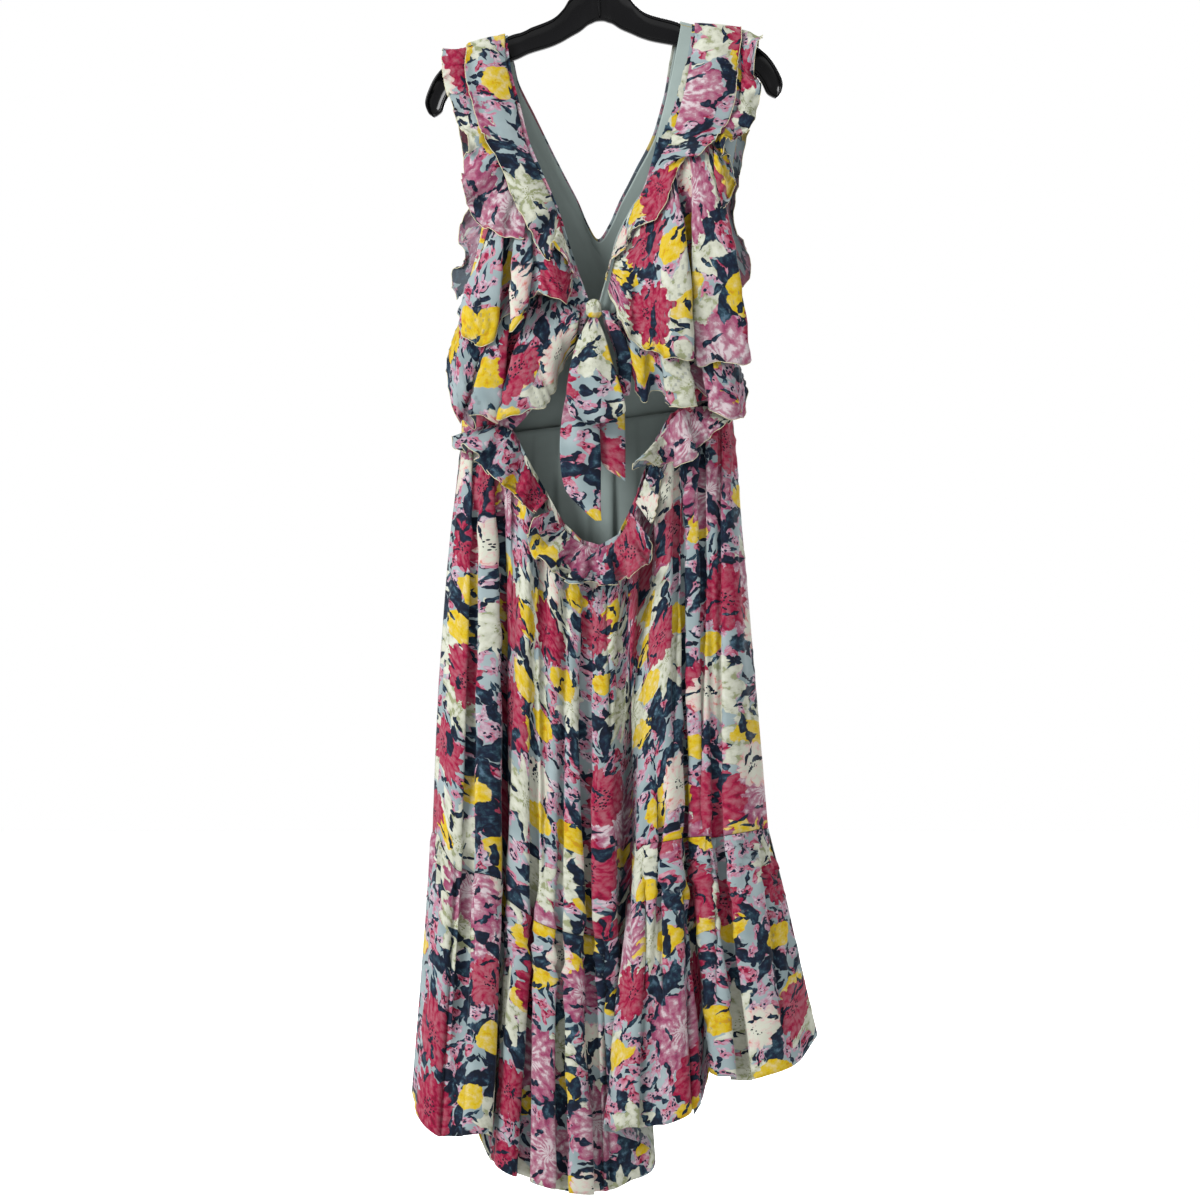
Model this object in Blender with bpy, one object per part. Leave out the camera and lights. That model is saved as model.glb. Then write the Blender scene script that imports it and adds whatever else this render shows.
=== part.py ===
"""Maxi dress on a hanger, its open tied back towards -Y.

Units in the tables are millimetres: x to the viewer's right, "drop" down from the point the
hook hangs by, and "out" from the hanger's middle plane towards the viewer (negative = the
front of the dress, on the far side).  Every piece of cloth is one closed wall.
"""

import math

import bmesh
import bpy
import numpy as np
from mathutils import Vector
from mathutils.bvhtree import BVHTree

MM = 0.001

# ---------------------------------------------------------------- driving dimensions
WALL = 1.2 * MM            # cloth with its turned hems
SEAM_GAP = 0.3 * MM        # air between two sewn pieces
LAYER_GAP = 1.3 * MM       # air under a frill that lies on another layer
PROBE = 3.5 * MM           # a frill also clears what lies this far to each side of a point
STEEP = 0.45               # cosine of the steepest slope that a clearance is worked out for
SIDE_X = (-157 * MM, 163 * MM)        # side seams at the waist
SIDE_OUT = 0.75 * MM       # each panel stops this far from the side seam's plane

HANGER_THICK = 12 * MM
HANGER_WEB = 4 * MM
HANGER_RIM = 3.5 * MM      # width of the raised rim round the web
HANGER_TILT = math.radians(3.2)       # it hangs with the right arm higher
HOOK_WIRE = 4 * MM
HOOK_BEND = 19 * MM        # inner radius of the hook
HOOK_STEM = (61.5 * MM, 54 * MM)      # drop of its lower end, and of where the bend begins
HOOK_SWEEP = (-62, 205)    # degrees round the bend, from the stem to the point
HANGER_STEP = 0.6 * MM     # slope from the rim down to the web
SHARP_ANGLE = math.radians(35)
OVER_ARM = 9 * MM          # half depth of the cloth's bend over a hanger arm
ARM_CLEAR = 1.5 * MM       # the cloth's middle line above the arm
RIGHT_LIFT = 7 * MM        # the right shoulder's outer edge stands clear of the sloping arm

# ---------------------------------------------------------------- small helpers


def table(names, rows):
    """Rows of millimetres as a dictionary of named columns in metres."""
    values = np.array(rows, float) * MM
    return dict(zip(names.split(), values.T))


def spline(keys, steps):
    """Catmull-Rom curve through the rows of keys, with `steps` pieces between two rows."""
    keys = np.asarray(keys, float)
    before = 2 * keys[:1] - keys[1:2]
    after = 2 * keys[-1:] - keys[-2:-1]
    padded = np.concatenate([before, keys, after])
    t = (np.arange(steps) / steps).reshape((1, steps) + (1,) * (keys.ndim - 1))
    p0, p1, p2, p3 = (padded[k:k + len(keys) - 1][:, None] for k in range(4))
    curve = p1 + 0.5 * t * (p2 - p0 + t * (2 * p0 - 5 * p1 + 4 * p2 - p3
                                           + t * (3 * (p1 - p2) + p3 - p0)))
    curve = curve.reshape((-1,) + keys.shape[1:])
    return np.concatenate([curve, keys[-1:]])


def place(x, drop, out):
    """Points in world space from x, drop and out."""
    x, drop, out = np.broadcast_arrays(x, drop, out)
    return np.stack([x, -out, -drop], axis=-1)


def curve_points(columns, steps=1):
    """World points of a table with x, drop and out columns, smoothed."""
    keys = place(columns["x"], columns["drop"], columns["out"])
    return spline(keys, steps) if steps > 1 else keys


def material(name, colour, roughness=0.75, metallic=0.0):
    """A Principled material in one plain colour."""
    made = bpy.data.materials.new(name)
    made.use_nodes = True
    shader = made.node_tree.nodes["Principled BSDF"]
    shader.inputs["Base Color"].default_value = (*colour, 1.0)
    shader.inputs["Roughness"].default_value = roughness
    shader.inputs["Metallic"].default_value = metallic
    return made


def grid_faces(rows, columns):
    """Quads of a grid of rows x columns points."""
    first = (np.arange(rows - 1)[:, None] * columns + np.arange(columns - 1)).ravel()
    return np.stack([first, first + columns, first + columns + 1, first + 1], axis=1)


def tree(grid):
    """Search tree over a grid of points."""
    rows, columns = grid.shape[:2]
    points = [Vector(p) for p in grid.reshape(-1, 3)]
    return BVHTree.FromPolygons(points, grid_faces(rows, columns).tolist())


def add_object(name, mesh, paint):
    made = bpy.data.objects.new(name, mesh)
    mesh.materials.append(paint)
    bpy.context.scene.collection.objects.link(made)
    return made


def cloth(name, grid, paint):
    """A closed wall of cloth, half its thickness to each side of the grid."""
    rows, columns = grid.shape[:2]
    mesh = bpy.data.meshes.new(name)
    mesh.from_pydata(grid.reshape(-1, 3).tolist(), [], grid_faces(rows, columns).tolist())
    mesh.shade_smooth()
    made = add_object(name, mesh, paint)
    wall = made.modifiers.new("Wall", "SOLIDIFY")
    wall.thickness = WALL
    wall.offset = 0.0
    wall.use_quality_normals = True
    return grid


def cast(layer, x, z, facing):
    """Where a straight line along Y first meets a layer: (out, how square on), or None.

    facing is +1 from the viewer's side and -1 from the far side; out is measured that way.
    """
    hit, normal, _, _ = layer.ray_cast(Vector((x, -facing, z)), Vector((0, facing, 0)))
    if hit is None:
        return None
    return -facing * hit.y, abs(normal.y)


def lay_over(grid, layers, facing, gap=LAYER_GAP):
    """Push points out along Y until they clear the layers below and just beside them."""
    flat = grid.reshape(-1, 3).copy()
    probes = ((0, 0), (PROBE, 0), (-PROBE, 0), (0, PROBE), (0, -PROBE))
    for point in flat:
        level = -facing * point[1]
        for layer in layers:
            for side, down in probes:
                found = cast(layer, point[0] + side, point[2] - down, facing)
                if found:
                    near = STEEP if side == down == 0 else 1.0
                    level = max(level, found[0] + (WALL + gap) / max(found[1], near))
        point[1] = -facing * level
    return flat.reshape(grid.shape)


def sew_on(x, drop, layer, facing):
    """Seam points moved out from a layer's own surface, a wall and a seam gap away."""
    made = []
    for px, pd in zip(x, drop):
        hit, normal, _, _ = layer.ray_cast(Vector((px, -facing, -pd)), Vector((0, facing, 0)))
        if hit is None:
            hit, normal, _, _ = layer.find_nearest(Vector((px, 0, -pd)))
        outward = normal if normal.y * facing < 0 else -normal
        made.append(hit + outward * (WALL + SEAM_GAP))
    return np.array(made)


# ---------------------------------------------------------------- hanger

# Half of the hanger's outline before it is tilted: x from its middle, and drop.
ARM_TOP = table("x drop", [(12, 62), (14, 72), (22, 88), (35, 99), (43, 110), (57, 121),
                           (87, 131), (112, 139), (150, 149), (176, 161), (196, 178),
                           (209, 200)])
ARM_TIP = table("x drop", [(213, 214), (210, 224), (202, 229), (194, 225), (189, 214)])
ARM_UNDER = table("x drop", [(179, 198), (164, 186), (140, 176), (104, 167), (86, 160),
                             (62, 154), (36, 143), (15, 130), (0, 126)])


def tilt(x, drop):
    """Turn a point of the hanger about the hook."""
    turned_x = x * math.cos(HANGER_TILT) + drop * math.sin(HANGER_TILT)
    turned_drop = drop * math.cos(HANGER_TILT) - x * math.sin(HANGER_TILT)
    return turned_x, turned_drop


def arm_top(x, side):
    """Drop of the upper edge of the tilted hanger's arm at x, on side -1 or +1."""
    top_x, top_drop = tilt(side * ARM_TOP["x"], ARM_TOP["drop"])
    order = np.argsort(top_x)
    return np.interp(x, top_x[order], top_drop[order])


def make_hanger(plastic, steel):
    right = [np.concatenate([part[key] for part in (ARM_TOP, ARM_TIP, ARM_UNDER)])
             for key in ("x", "drop")]
    half = np.stack(right, axis=1)
    mirrored = half[-2::-1] * (-1, 1)
    outline = np.concatenate([half, mirrored])
    build = bmesh.new()
    front = []
    for x, drop in outline:
        turned_x, turned_drop = tilt(x, drop)
        front.append(build.verts.new((turned_x, -HANGER_THICK / 2, -turned_drop)))
    face = build.faces.new(front)
    grown = bmesh.ops.extrude_face_region(build, geom=[face])
    moved = [item for item in grown["geom"] if isinstance(item, bmesh.types.BMVert)]
    bmesh.ops.translate(build, verts=moved, vec=(0, HANGER_THICK, 0))
    bmesh.ops.recalc_face_normals(build, faces=build.faces)
    sides = [f for f in build.faces if abs(f.normal.y) > 0.9]
    depth = (HANGER_THICK - HANGER_WEB) / 2
    for side in sides:
        bmesh.ops.inset_region(build, faces=[side], thickness=HANGER_RIM, use_even_offset=True)
        bmesh.ops.inset_region(build, faces=[side], thickness=HANGER_STEP, depth=-depth,
                               use_even_offset=True)
    bmesh.ops.triangulate(build, faces=[f for f in build.faces if len(f.verts) > 4])
    mesh = bpy.data.meshes.new("hanger_body")
    build.to_mesh(mesh)
    build.free()
    mesh.shade_smooth()
    mesh.set_sharp_from_angle(angle=SHARP_ANGLE)
    add_object("hanger_body", mesh, plastic)

    wire_radius = HOOK_WIRE / 2
    bend = HOOK_BEND + wire_radius
    centre_drop = HOOK_BEND
    route = [tilt(0, drop) for drop in HOOK_STEM]
    for degrees in np.linspace(*HOOK_SWEEP, 13):
        angle = math.radians(degrees)
        route.append((bend * math.cos(angle), centre_drop - bend * math.sin(angle)))
    wire = bpy.data.curves.new("hanger_hook", "CURVE")
    wire.dimensions = "3D"
    wire.bevel_depth = wire_radius
    wire.bevel_resolution = 2
    wire.use_fill_caps = True
    points = spline(np.array(route), 2)
    strand = wire.splines.new("POLY")
    strand.points.add(len(points) - 1)
    for point, (x, drop) in zip(strand.points, points):
        point.co = (x, 0, -drop, 1)
    hook = bpy.data.objects.new("hanger_hook", wire)
    wire.materials.append(steel)
    bpy.context.scene.collection.objects.link(hook)


# ---------------------------------------------------------------- skirt and tier

# Back panel: one row for each crest or trough, left to right, at the waist, at the tier's
# seam and at the hem.
BACK_FOLDS = table(
    "waist_x waist_out seam_x seam_drop seam_out hem_x hem_drop hem_out", [
        (-157, 0.75, -191, 1085, 0.75, -215, 1392, 0.75),
        (-150, 17, -182, 1088, 30, -208, 1417, 34),
        (-137, 25, -165, 1124, 50, -187, 1437, 58),
        (-124, 28, -146, 1130, 44, -165, 1440, 52),
        (-112, 30, -127, 1133, 58, -143, 1437, 70),
        (-104, 31, -114, 1135, 50, -126, 1434, 58),
        (-98, 32, -109, 1147, 22, -131, 1453, 24),
        (-91, 33, -101, 1165, 36, -118, 1471, 42),
        (-83, 34, -88, 1172, 52, -104, 1482, 56),
        (-75, 35, -77, 1180, 42, -89, 1487, 42),
        (-67, 36, -70, 1186, 30, -77, 1491, 30),
        (-57, 37, -58, 1192, 56, -62, 1497, 62),
        (-43, 38, -40, 1198, 46, -38, 1504, 50),
        (-28, 38.5, -21, 1203, 58, -14, 1507, 62),
        (-14, 38.5, -7, 1205, 34, 1, 1507, 36),
        (0, 38, 11, 1208, 52, 19, 1505, 42),
        (15, 37.5, 26, 1209, 40, 42, 1495, 28),
        (32, 37, 54, 1172, 22, 72, 1468, 18),
        (45, 37, 46, 1107, 42, 12, 1428, 66),
        (58, 36.5, 60, 1099, 60, 40, 1429, 82),
        (73, 36, 78, 1095, 50, 66, 1426, 70),
        (88, 35.5, 92, 1092, 60, 95, 1420, 78),
        (99, 35, 103, 1090, 46, 122, 1404, 58),
        (106, 34.5, 105, 1091, 22, 124, 1408, 24),
        (114, 34, 113, 1090, 38, 136, 1365, 40),
        (123, 32, 129, 1088, 54, 154, 1370, 58),
        (133, 29, 143, 1090, 36, 175, 1376, 42),
        (143, 25, 163, 1086, 48, 202, 1369, 54),
        (154, 16, 187, 1082, 30, 238, 1357, 34),
        (163, 0.75, 206, 1081, 0.75, 265, 1326, 0.75),
    ])

# Upper edge of the back panel: sewn to the bodice at both sides, open cut-out between.
BACK_WAIST = table("x drop", [
    (-159, 622), (-123, 618), (-94, 612), (-76, 648), (-54, 687), (-36, 719), (-14, 740),
    (7, 746), (28, 734), (45, 699), (60, 657), (72, 622), (90, 592), (114, 578),
    (140, 577), (165, 580)])
CUTOUT_X = (-96 * MM, 108 * MM)

# Folds of the front: how many, how far their spacing and depth swing, how flat the arc is that
# they follow, and how far their lower ends waver up and down.
FRONT_FOLDS = dict(count=13, drift=0.019, swing=0.55, arc=0.7, waver=4 * MM)
FRONT_WAIST = dict(drop=(622 * MM, 581 * MM), out=25 * MM, wave=4.5 * MM)
FRONT_SEAM = dict(x=(-191 * MM, 206 * MM), drop=(1085 * MM, 1081 * MM), rise=34 * MM,
                  out=48 * MM, wave=9 * MM)
FRONT_HEM = dict(x=(-215 * MM, 265 * MM), drop=(1392 * MM, 1326 * MM), rise=84 * MM,
                 out=58 * MM, wave=13 * MM)
SKIRT_STEPS = 5
BACK_STEPS = 3             # pieces between two folds of the back panel
FRONT_STEPS = 2
TIER_STEPS = 4
SIDE_BELLY = 6 * MM        # how far the left side of the skirt bows out at half height
TIER_GATHER = 3.5 * MM     # small gathers under the tier's seam
TIER_LEVEL = 0.35          # the tier's upper gap is measured as if its seam were no steeper


def back_waist(x):
    return np.interp(x, BACK_WAIST["x"], BACK_WAIST["drop"])


def front_waist(x):
    return np.interp(x, SIDE_X, FRONT_WAIST["drop"])


def front_levels():
    """Waist, seam and hem points of the front panel's folds, worked out by a formula.

    Crests and troughs alternate along a flat arc; their spacing and depth swing slowly so
    that no two folds are alike, and the hem rises towards the middle.
    """
    folds = FRONT_FOLDS
    i = np.arange(2 * folds["count"] + 1)
    t = i / i[-1]
    ends = np.sin(math.pi * t)
    t = t + folds["drift"] * np.sin(2.4 * i) * (i > 0) * (i < i[-1])
    arc = np.maximum(np.sin(math.pi * t), 0) ** folds["arc"]
    swing = np.where(i % 2, 1.0, -1.0) * (1 + folds["swing"] * np.sin(1.9 * i))
    swing = swing * np.minimum(4 * ends, 1)
    x = SIDE_X[0] + (SIDE_X[1] - SIDE_X[0]) * t
    waist = place(x, front_waist(x) + SEAM_GAP,
                  -SIDE_OUT - FRONT_WAIST["out"] * arc - FRONT_WAIST["wave"] * swing)
    lower = []
    for level in (FRONT_SEAM, FRONT_HEM):
        x = level["x"][0] + (level["x"][1] - level["x"][0]) * t
        drop = np.interp(t, (0, 1), level["drop"]) - level["rise"] * ends
        drop = drop + folds["waver"] * np.sin(2.1 * i) * ends
        lower.append(place(x, drop, -SIDE_OUT - level["out"] * arc - level["wave"] * swing))
    return waist, lower[0], lower[1]


def skirt_grid(waist, seam, steps):
    """Straight fall from waist to seam, bowed out at the left side."""
    v = np.linspace(0, 1, steps + 1)[:, None, None]
    grid = waist * (1 - v) + seam * v
    share = np.linspace(1, 0, waist.shape[0])[None, :] ** 2
    grid[:, :, 0] -= SIDE_BELLY * share * np.sin(math.pi * v[:, :, 0])
    return grid


def tier_grid(seam, hem, steps, facing):
    """From just under the seam to the hem, with small gathers that fade downwards."""
    v = np.linspace(0, 1, steps + 1)[:, None]
    along = np.gradient(seam, axis=0)
    level = np.linalg.norm(along[:, :2], axis=1) / np.linalg.norm(along, axis=1)
    top = seam.copy()
    top[:, 2] -= 3 * SEAM_GAP / np.maximum(level, TIER_LEVEL)
    grid = top * (1 - v[:, :, None]) + hem * v[:, :, None]
    count = seam.shape[0]
    ripple = np.sin(math.pi * np.arange(count) * 2 / 3 + 0.6)
    ripple = ripple * np.sin(math.pi * np.linspace(0, 1, count))
    fade = np.sqrt(v) * (1 - v) ** 0.7
    grid[:, :, 1] -= facing * TIER_GATHER * fade * ripple
    return grid


def make_skirt(paint):
    folds = BACK_FOLDS
    waist = spline(place(folds["waist_x"], 0, folds["waist_out"]), BACK_STEPS)
    waist[:, 2] = -back_waist(waist[:, 0]) - SEAM_GAP
    seam_keys = place(folds["seam_x"], folds["seam_drop"], folds["seam_out"])
    hem_keys = place(folds["hem_x"], folds["hem_drop"], folds["hem_out"])
    seam, hem = spline(seam_keys, BACK_STEPS), spline(hem_keys, BACK_STEPS)
    back = cloth("back_skirt", skirt_grid(waist, seam, SKIRT_STEPS), paint)
    cloth("back_tier", tier_grid(seam, hem, TIER_STEPS, 1), paint)
    waist, seam, hem = (spline(level, FRONT_STEPS) for level in front_levels())
    cloth("front_skirt", skirt_grid(waist, seam, SKIRT_STEPS), paint)
    cloth("front_tier", tier_grid(seam, hem, TIER_STEPS, -1), paint)
    return back


# ---------------------------------------------------------------- bodice

LEFT_ARM_EDGE = table("x drop out", [
    (-147, 160, 9), (-144, 189, 11), (-137, 231, 12), (-130, 278, 13), (-128, 326, 12),
    (-135, 385, 8), (-152, 456, 0.75), (-156, 551, 0.75), (-157, 621, 0.75)])
LEFT_NECK_EDGE = table("x drop out", [
    (-102, 152, 9), (-97, 189, 12), (-86, 231, 15), (-76, 270, 18), (-60, 308, 21),
    (-43, 347, 25), (-31, 385, 29), (-19, 423, 36), (-4, 464, 46)])
LEFT_LOW_EDGE = table("x drop out", [
    (-157, 621, 0.75), (-123, 618, 25), (-96, 611, 29), (-73, 587, 32), (-54, 565, 33),
    (-31, 527, 35), (-13, 492, 41), (-4, 464, 46)])
RIGHT_NECK_EDGE = table("x drop out", [
    (102, 140, 9), (93, 184, 12), (87, 212, 14), (76.5, 256, 17), (69, 290, 20),
    (58, 326, 24), (43, 350, 27), (26, 385, 31), (16, 425, 37), (5, 464, 46)])
RIGHT_ARM_EDGE = table("x drop out", [
    (174, 143, 9), (179, 172, 11), (178, 205, 12), (172, 245, 13), (163, 300, 13),
    (156, 350, 11), (154, 395, 7), (159, 456, 0.75), (162, 515, 0.75), (163, 579, 0.75)])
RIGHT_LOW_EDGE = table("x drop out", [
    (5, 464, 46), (17, 497, 41), (43, 534, 35), (66, 556, 33), (90, 570, 32),
    (112, 577, 31), (138, 576, 24), (163, 579, 0.75)])
HALF_STEPS = 2             # pieces between two table rows, across a half
HALF_SWELL = 7 * MM        # how far the middle of a half stands out at its lower edge
# Section of the bend over an arm, as shares of its half depth: out, and down from its crest.
OVER_SECTION = ((-1.0, 1.0), (-0.97, 0.5), (-0.8, 0.08), (0.0, 0.0), (0.8, 0.08), (0.97, 0.5))

# Front bodice, left to right: the shoulder and V edge above, the waist below.
FRONT_TOP = table("x drop out", [
    (-147, 165, -9), (-124, 158, -9), (-101, 153, -9), (-90, 195, -12), (-71, 234, -14),
    (-46, 285, -17), (-19, 337, -20), (5, 382, -22), (30, 337, -20), (51, 296, -17),
    (70, 258, -14), (84.5, 205, -12), (99, 142, -9), (142, 147, -9), (174, 145, -9)])
FRONT_LOW = table("x out", [
    (-157, -0.75), (-136, -14), (-115, -19), (-97, -22), (-77, -23), (-50, -24), (-22, -26),
    (5, -26), (33, -26), (60, -25), (85, -24), (107, -22), (124, -19), (144, -14),
    (163, -0.75)])
FRONT_LEFT_EDGE = table("x drop out", [
    (-147, 165, -9), (-137, 231, -12), (-129, 310, -13), (-135, 385, -8), (-152, 456, -0.75),
    (-156, 551, -0.75), (-157, 622, -0.75)])
FRONT_RIGHT_EDGE = table("x drop out", [
    (174, 145, -9), (178, 205, -12), (168, 275, -13), (155, 375, -9), (159, 456, -0.75),
    (162, 515, -0.75), (163, 581, -0.75)])
LINING_BELOW_EDGE = 0.02   # share of the bodice's height left bare along the V
LINING_ABOVE_WAIST = 0.01  # share of its last row by which the lining stops short


def coons(top, low, left, right):
    """Surface between four edge curves, rows going down and columns left to right."""
    u = np.linspace(0, 1, len(top))[None, :, None]
    v = np.linspace(0, 1, len(left))[:, None, None]
    ruled = (1 - v) * top[None] + v * low[None]
    across = (1 - u) * left[:, None] + u * right[:, None]
    corners = ((1 - v) * ((1 - u) * top[0] + u * top[-1])
               + v * ((1 - u) * low[0] + u * low[-1]))
    return ruled + across - corners


def shoulder(x, side):
    """Drop of the cloth's crest over the arm at x, on side -1 or +1."""
    inner, outer = RIGHT_NECK_EDGE["x"][0], RIGHT_ARM_EDGE["x"][0]
    share = np.clip((x - inner) / (outer - inner), 0, 1)
    lift = RIGHT_LIFT * share ** 2 if side > 0 else 0
    return arm_top(x, side) - ARM_CLEAR - lift


def back_half(name, left, right, low, side, paint):
    """One half of the back bodice, carried over the hanger's arm to the shoulder seam."""
    low_points = curve_points(low, HALF_STEPS)
    sewn = (low_points[:, 0] < CUTOUT_X[0]) | (low_points[:, 0] > CUTOUT_X[1])
    waist_z = -back_waist(low_points[:, 0]) + 2 * SEAM_GAP
    low_points[sewn, 2] = waist_z[sewn]
    count = len(low_points)
    left_points = curve_points(left)
    right_points = curve_points(right)
    left_points[-1] = low_points[0]
    right_points[-1] = low_points[-1]
    across = np.linspace(0, 1, count)
    x = left_points[0, 0] + (right_points[0, 0] - left_points[0, 0]) * across
    crest = shoulder(x, side)
    top = place(x, crest + OVER_ARM, OVER_ARM)
    left_points[0] = top[0]
    right_points[0] = top[-1]
    panel = coons(top, low_points, left_points, right_points)
    v = np.linspace(0, 1, len(panel))[:, None]
    panel[:, :, 1] -= HALF_SWELL * v * np.sin(math.pi * across)[None, :]
    wrap = [place(x, crest + OVER_ARM * down, OVER_ARM * out) for out, down in OVER_SECTION]
    return cloth(name, np.concatenate([np.array(wrap), panel]), paint)


def make_front(paint, lining_paint):
    top = curve_points(FRONT_TOP, 2)
    for band, side in ((slice(0, 5), -1), (slice(-5, None), 1)):
        top[band, 2] = -shoulder(top[band, 0], side) - OVER_ARM - 2 * SEAM_GAP
    low_x = spline(FRONT_LOW["x"][:, None], 2)[:, 0]
    low_out = spline(FRONT_LOW["out"][:, None], 2)[:, 0]
    low = place(low_x, front_waist(low_x) - SEAM_GAP, low_out)
    left = curve_points(FRONT_LEFT_EDGE)
    right = curve_points(FRONT_RIGHT_EDGE)
    left[0], left[-1] = top[0], low[0]
    right[0], right[-1] = top[-1], low[-1]
    front = coons(top, low, left, right)
    cloth("front_bodice", front, paint)
    rows = front.shape[0]
    inner = front[:, 1:-1].copy()
    inner[0] += (inner[1] - inner[0]) * LINING_BELOW_EDGE * rows
    inner[-1] -= (inner[-1] - inner[-2]) * LINING_ABOVE_WAIST
    down = np.gradient(inner, axis=0)
    along = np.gradient(inner, axis=1)
    normal = np.cross(down, along)
    normal /= np.linalg.norm(normal, axis=2, keepdims=True)
    normal *= -np.sign(normal[:, :, 1:2])
    lining = inner + normal * (WALL + 2 * SEAM_GAP)
    cloth("front_bodice_lining", lining, lining_paint)
    return front


# Lining of the front skirt: how wide it is at the waist, how it widens and how far it hangs, how
# far it bows out and from where, and its folds with the swing of their spacing and depth.
LINING = dict(x=(-118 * MM, 124 * MM), spread=1.06, length=150 * MM, out=13 * MM, inset=3 * MM,
              arc=0.6, wave=2.6 * MM, top_wave=0.6, folds=9, drift=0.012, swing=0.5)


def make_skirt_lining(paint):
    """Lining of the front skirt, with soft upright folds, where the cut-out shows it."""
    i = np.arange(2 * LINING["folds"] + 1)
    t = i / i[-1] + LINING["drift"] * np.sin(2.7 * i) * (i > 0) * (i < i[-1])
    x = LINING["x"][0] + (LINING["x"][1] - LINING["x"][0]) * t
    arc = np.maximum(np.sin(math.pi * t), 0) ** LINING["arc"]
    swing = np.where(i % 2, 1.0, -1.0) * (1 + LINING["swing"] * np.sin(1.3 * i)) * arc
    out = -LINING["inset"] - LINING["out"] * arc
    top = place(x, front_waist(x) + SEAM_GAP, out - LINING["top_wave"] * LINING["wave"] * swing)
    low = place(x * LINING["spread"], front_waist(x) + LINING["length"],
                out - LINING["wave"] * swing)
    v = np.linspace(0, 1, 4)[:, None, None]
    cloth("front_skirt_lining", spline(top, 2) * (1 - v) + spline(low, 2) * v, paint)


# ---------------------------------------------------------------- frills

FRILL = "seam_x seam_drop hem_x hem_drop hem_out"

NECK_LEFT = table(FRILL, [
    (-105, 162, -150, 162, 14), (-101, 189, -152, 186, 17), (-90, 231, -142, 232, 21),
    (-81, 270, -130, 264, 25), (-66, 304, -109, 301, 28), (-56, 326, -96, 337, 36),
    (-47, 345, -76, 375, 48), (-41, 361, -58, 410, 42), (-37, 377, -49, 392, 54),
    (-31, 397, -33, 411, 44), (-24, 418, -19, 435, 52)])
NECK_RIGHT = table(FRILL, [
    (119, 150, 174, 150, 15), (114, 172, 170, 174, 18), (108, 205, 168, 207, 22),
    (99, 240, 161, 240, 25), (89, 270, 144, 266, 30), (80, 286, 126, 285, 42),
    (71, 302, 105, 295, 34), (63, 318, 88, 333, 30), (55, 333, 73, 363, 42),
    (45, 350, 47, 375, 34), (34, 371, 37, 399, 48), (25, 395, 21, 411, 40),
    (19, 418, 14, 436, 50)])
ARM_LEFT = table(FRILL, [
    (-144, 166, -179, 160, 12), (-142, 181, -179, 186, 18), (-139, 202, -175, 207, 12),
    (-133, 221, -168, 223, 22), (-127, 243, -162, 245, 14), (-120, 262, -148, 270, 28),
    (-114, 281, -154, 298, 20), (-108, 300, -154, 326, 32), (-102, 318, -143, 358, 22),
    (-94, 334, -123, 375, 38), (-86, 345, -103, 385, 30), (-78, 353, -82, 386, 38)])
ARM_RIGHT = table(FRILL, [
    (171, 150, 199, 145, 11), (173, 163, 191, 160, 18), (174, 181, 189, 191, 12),
    (174, 200, 197, 205, 20), (172, 217, 193, 229, 14), (168, 233, 186, 251, 24),
    (152, 245, 172, 264, 18), (146, 258, 153, 277, 32), (142, 274, 160, 297, 22),
    (141, 292, 167, 323, 32), (141, 310, 151, 354, 22)])
MID_LEFT = table(FRILL, [
    (-30, 396, -24, 440, 50), (-38, 385, -34, 465, 60), (-46, 374, -62, 427, 68),
    (-56, 364, -54, 449, 46), (-68, 356, -75, 456, 62), (-81, 351, -96, 488, 44),
    (-94, 350, -105, 477, 30), (-106, 352, -123, 506, 48), (-116, 360, -135, 510, 32),
    (-124, 374, -155, 494, 44), (-133, 400, -160, 470, 14)])
MID_RIGHT = table(FRILL, [
    (27, 398, 16, 447, 52), (38, 378, 38, 482, 64), (51, 356, 45, 508, 46),
    (64, 330, 69, 519, 68), (78, 303, 85, 525, 50), (92, 287, 106, 528, 70),
    (103, 276, 112, 505, 26), (114, 270, 128, 536, 58), (126, 267, 143, 529, 46),
    (137, 270, 174, 535, 58), (143, 290, 163, 506, 32), (147, 330, 175, 488, 42),
    (151, 390, 165, 455, 14)])
LOW_LEFT = table(FRILL, [
    (-16, 470, -22, 512, 44), (-27, 464, -42, 543, 50), (-40, 458, -56, 580, 38),
    (-54, 454, -78, 587, 56), (-69, 452, -107, 591, 40), (-83, 452, -101, 560, 60),
    (-97, 454, -121, 577, 34), (-110, 458, -135, 566, 56), (-123, 464, -147, 567, 36),
    (-134, 470, -165, 564, 44), (-145, 476, -173, 517, 20), (-151, 478, -162, 488, 8)])
LOW_RIGHT = table(FRILL, [
    (18, 476, 34, 512, 44), (31, 470, 46, 541, 48), (45, 468, 54, 577, 36),
    (61, 470, 76, 565, 56), (76, 472, 92, 583, 38), (91, 474, 111, 579, 56),
    (106, 476, 123, 565, 34), (119, 478, 139, 578, 52), (132, 480, 152, 598, 38),
    (143, 484, 172, 598, 50), (151, 486, 180, 565, 30), (156, 484, 170, 534, 12)])
FRONT_ARM_LEFT = table(FRILL, [
    (-142, 172, -174, 168, 12), (-139, 201, -172, 205, 20), (-134, 243, -161, 247, 13),
    (-128, 288, -154, 295, 24), (-127, 326, -149, 340, 15), (-132, 363, -161, 375, 28),
    (-138, 392, -153, 405, 17), (-144, 420, -169, 427, 26), (-150, 444, -163, 453, 12)])
FRONT_ARM_RIGHT = table(FRILL, [
    (171, 155, 195, 152, 12), (176, 184, 193, 193, 20), (175, 225, 187, 238, 13),
    (167, 266, 178, 278, 22), (160, 304, 170, 326, 15), (154, 337, 166, 363, 24),
    (152, 368, 187, 411, 34), (153, 397, 174, 442, 20), (157, 432, 166, 458, 12)])
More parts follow.
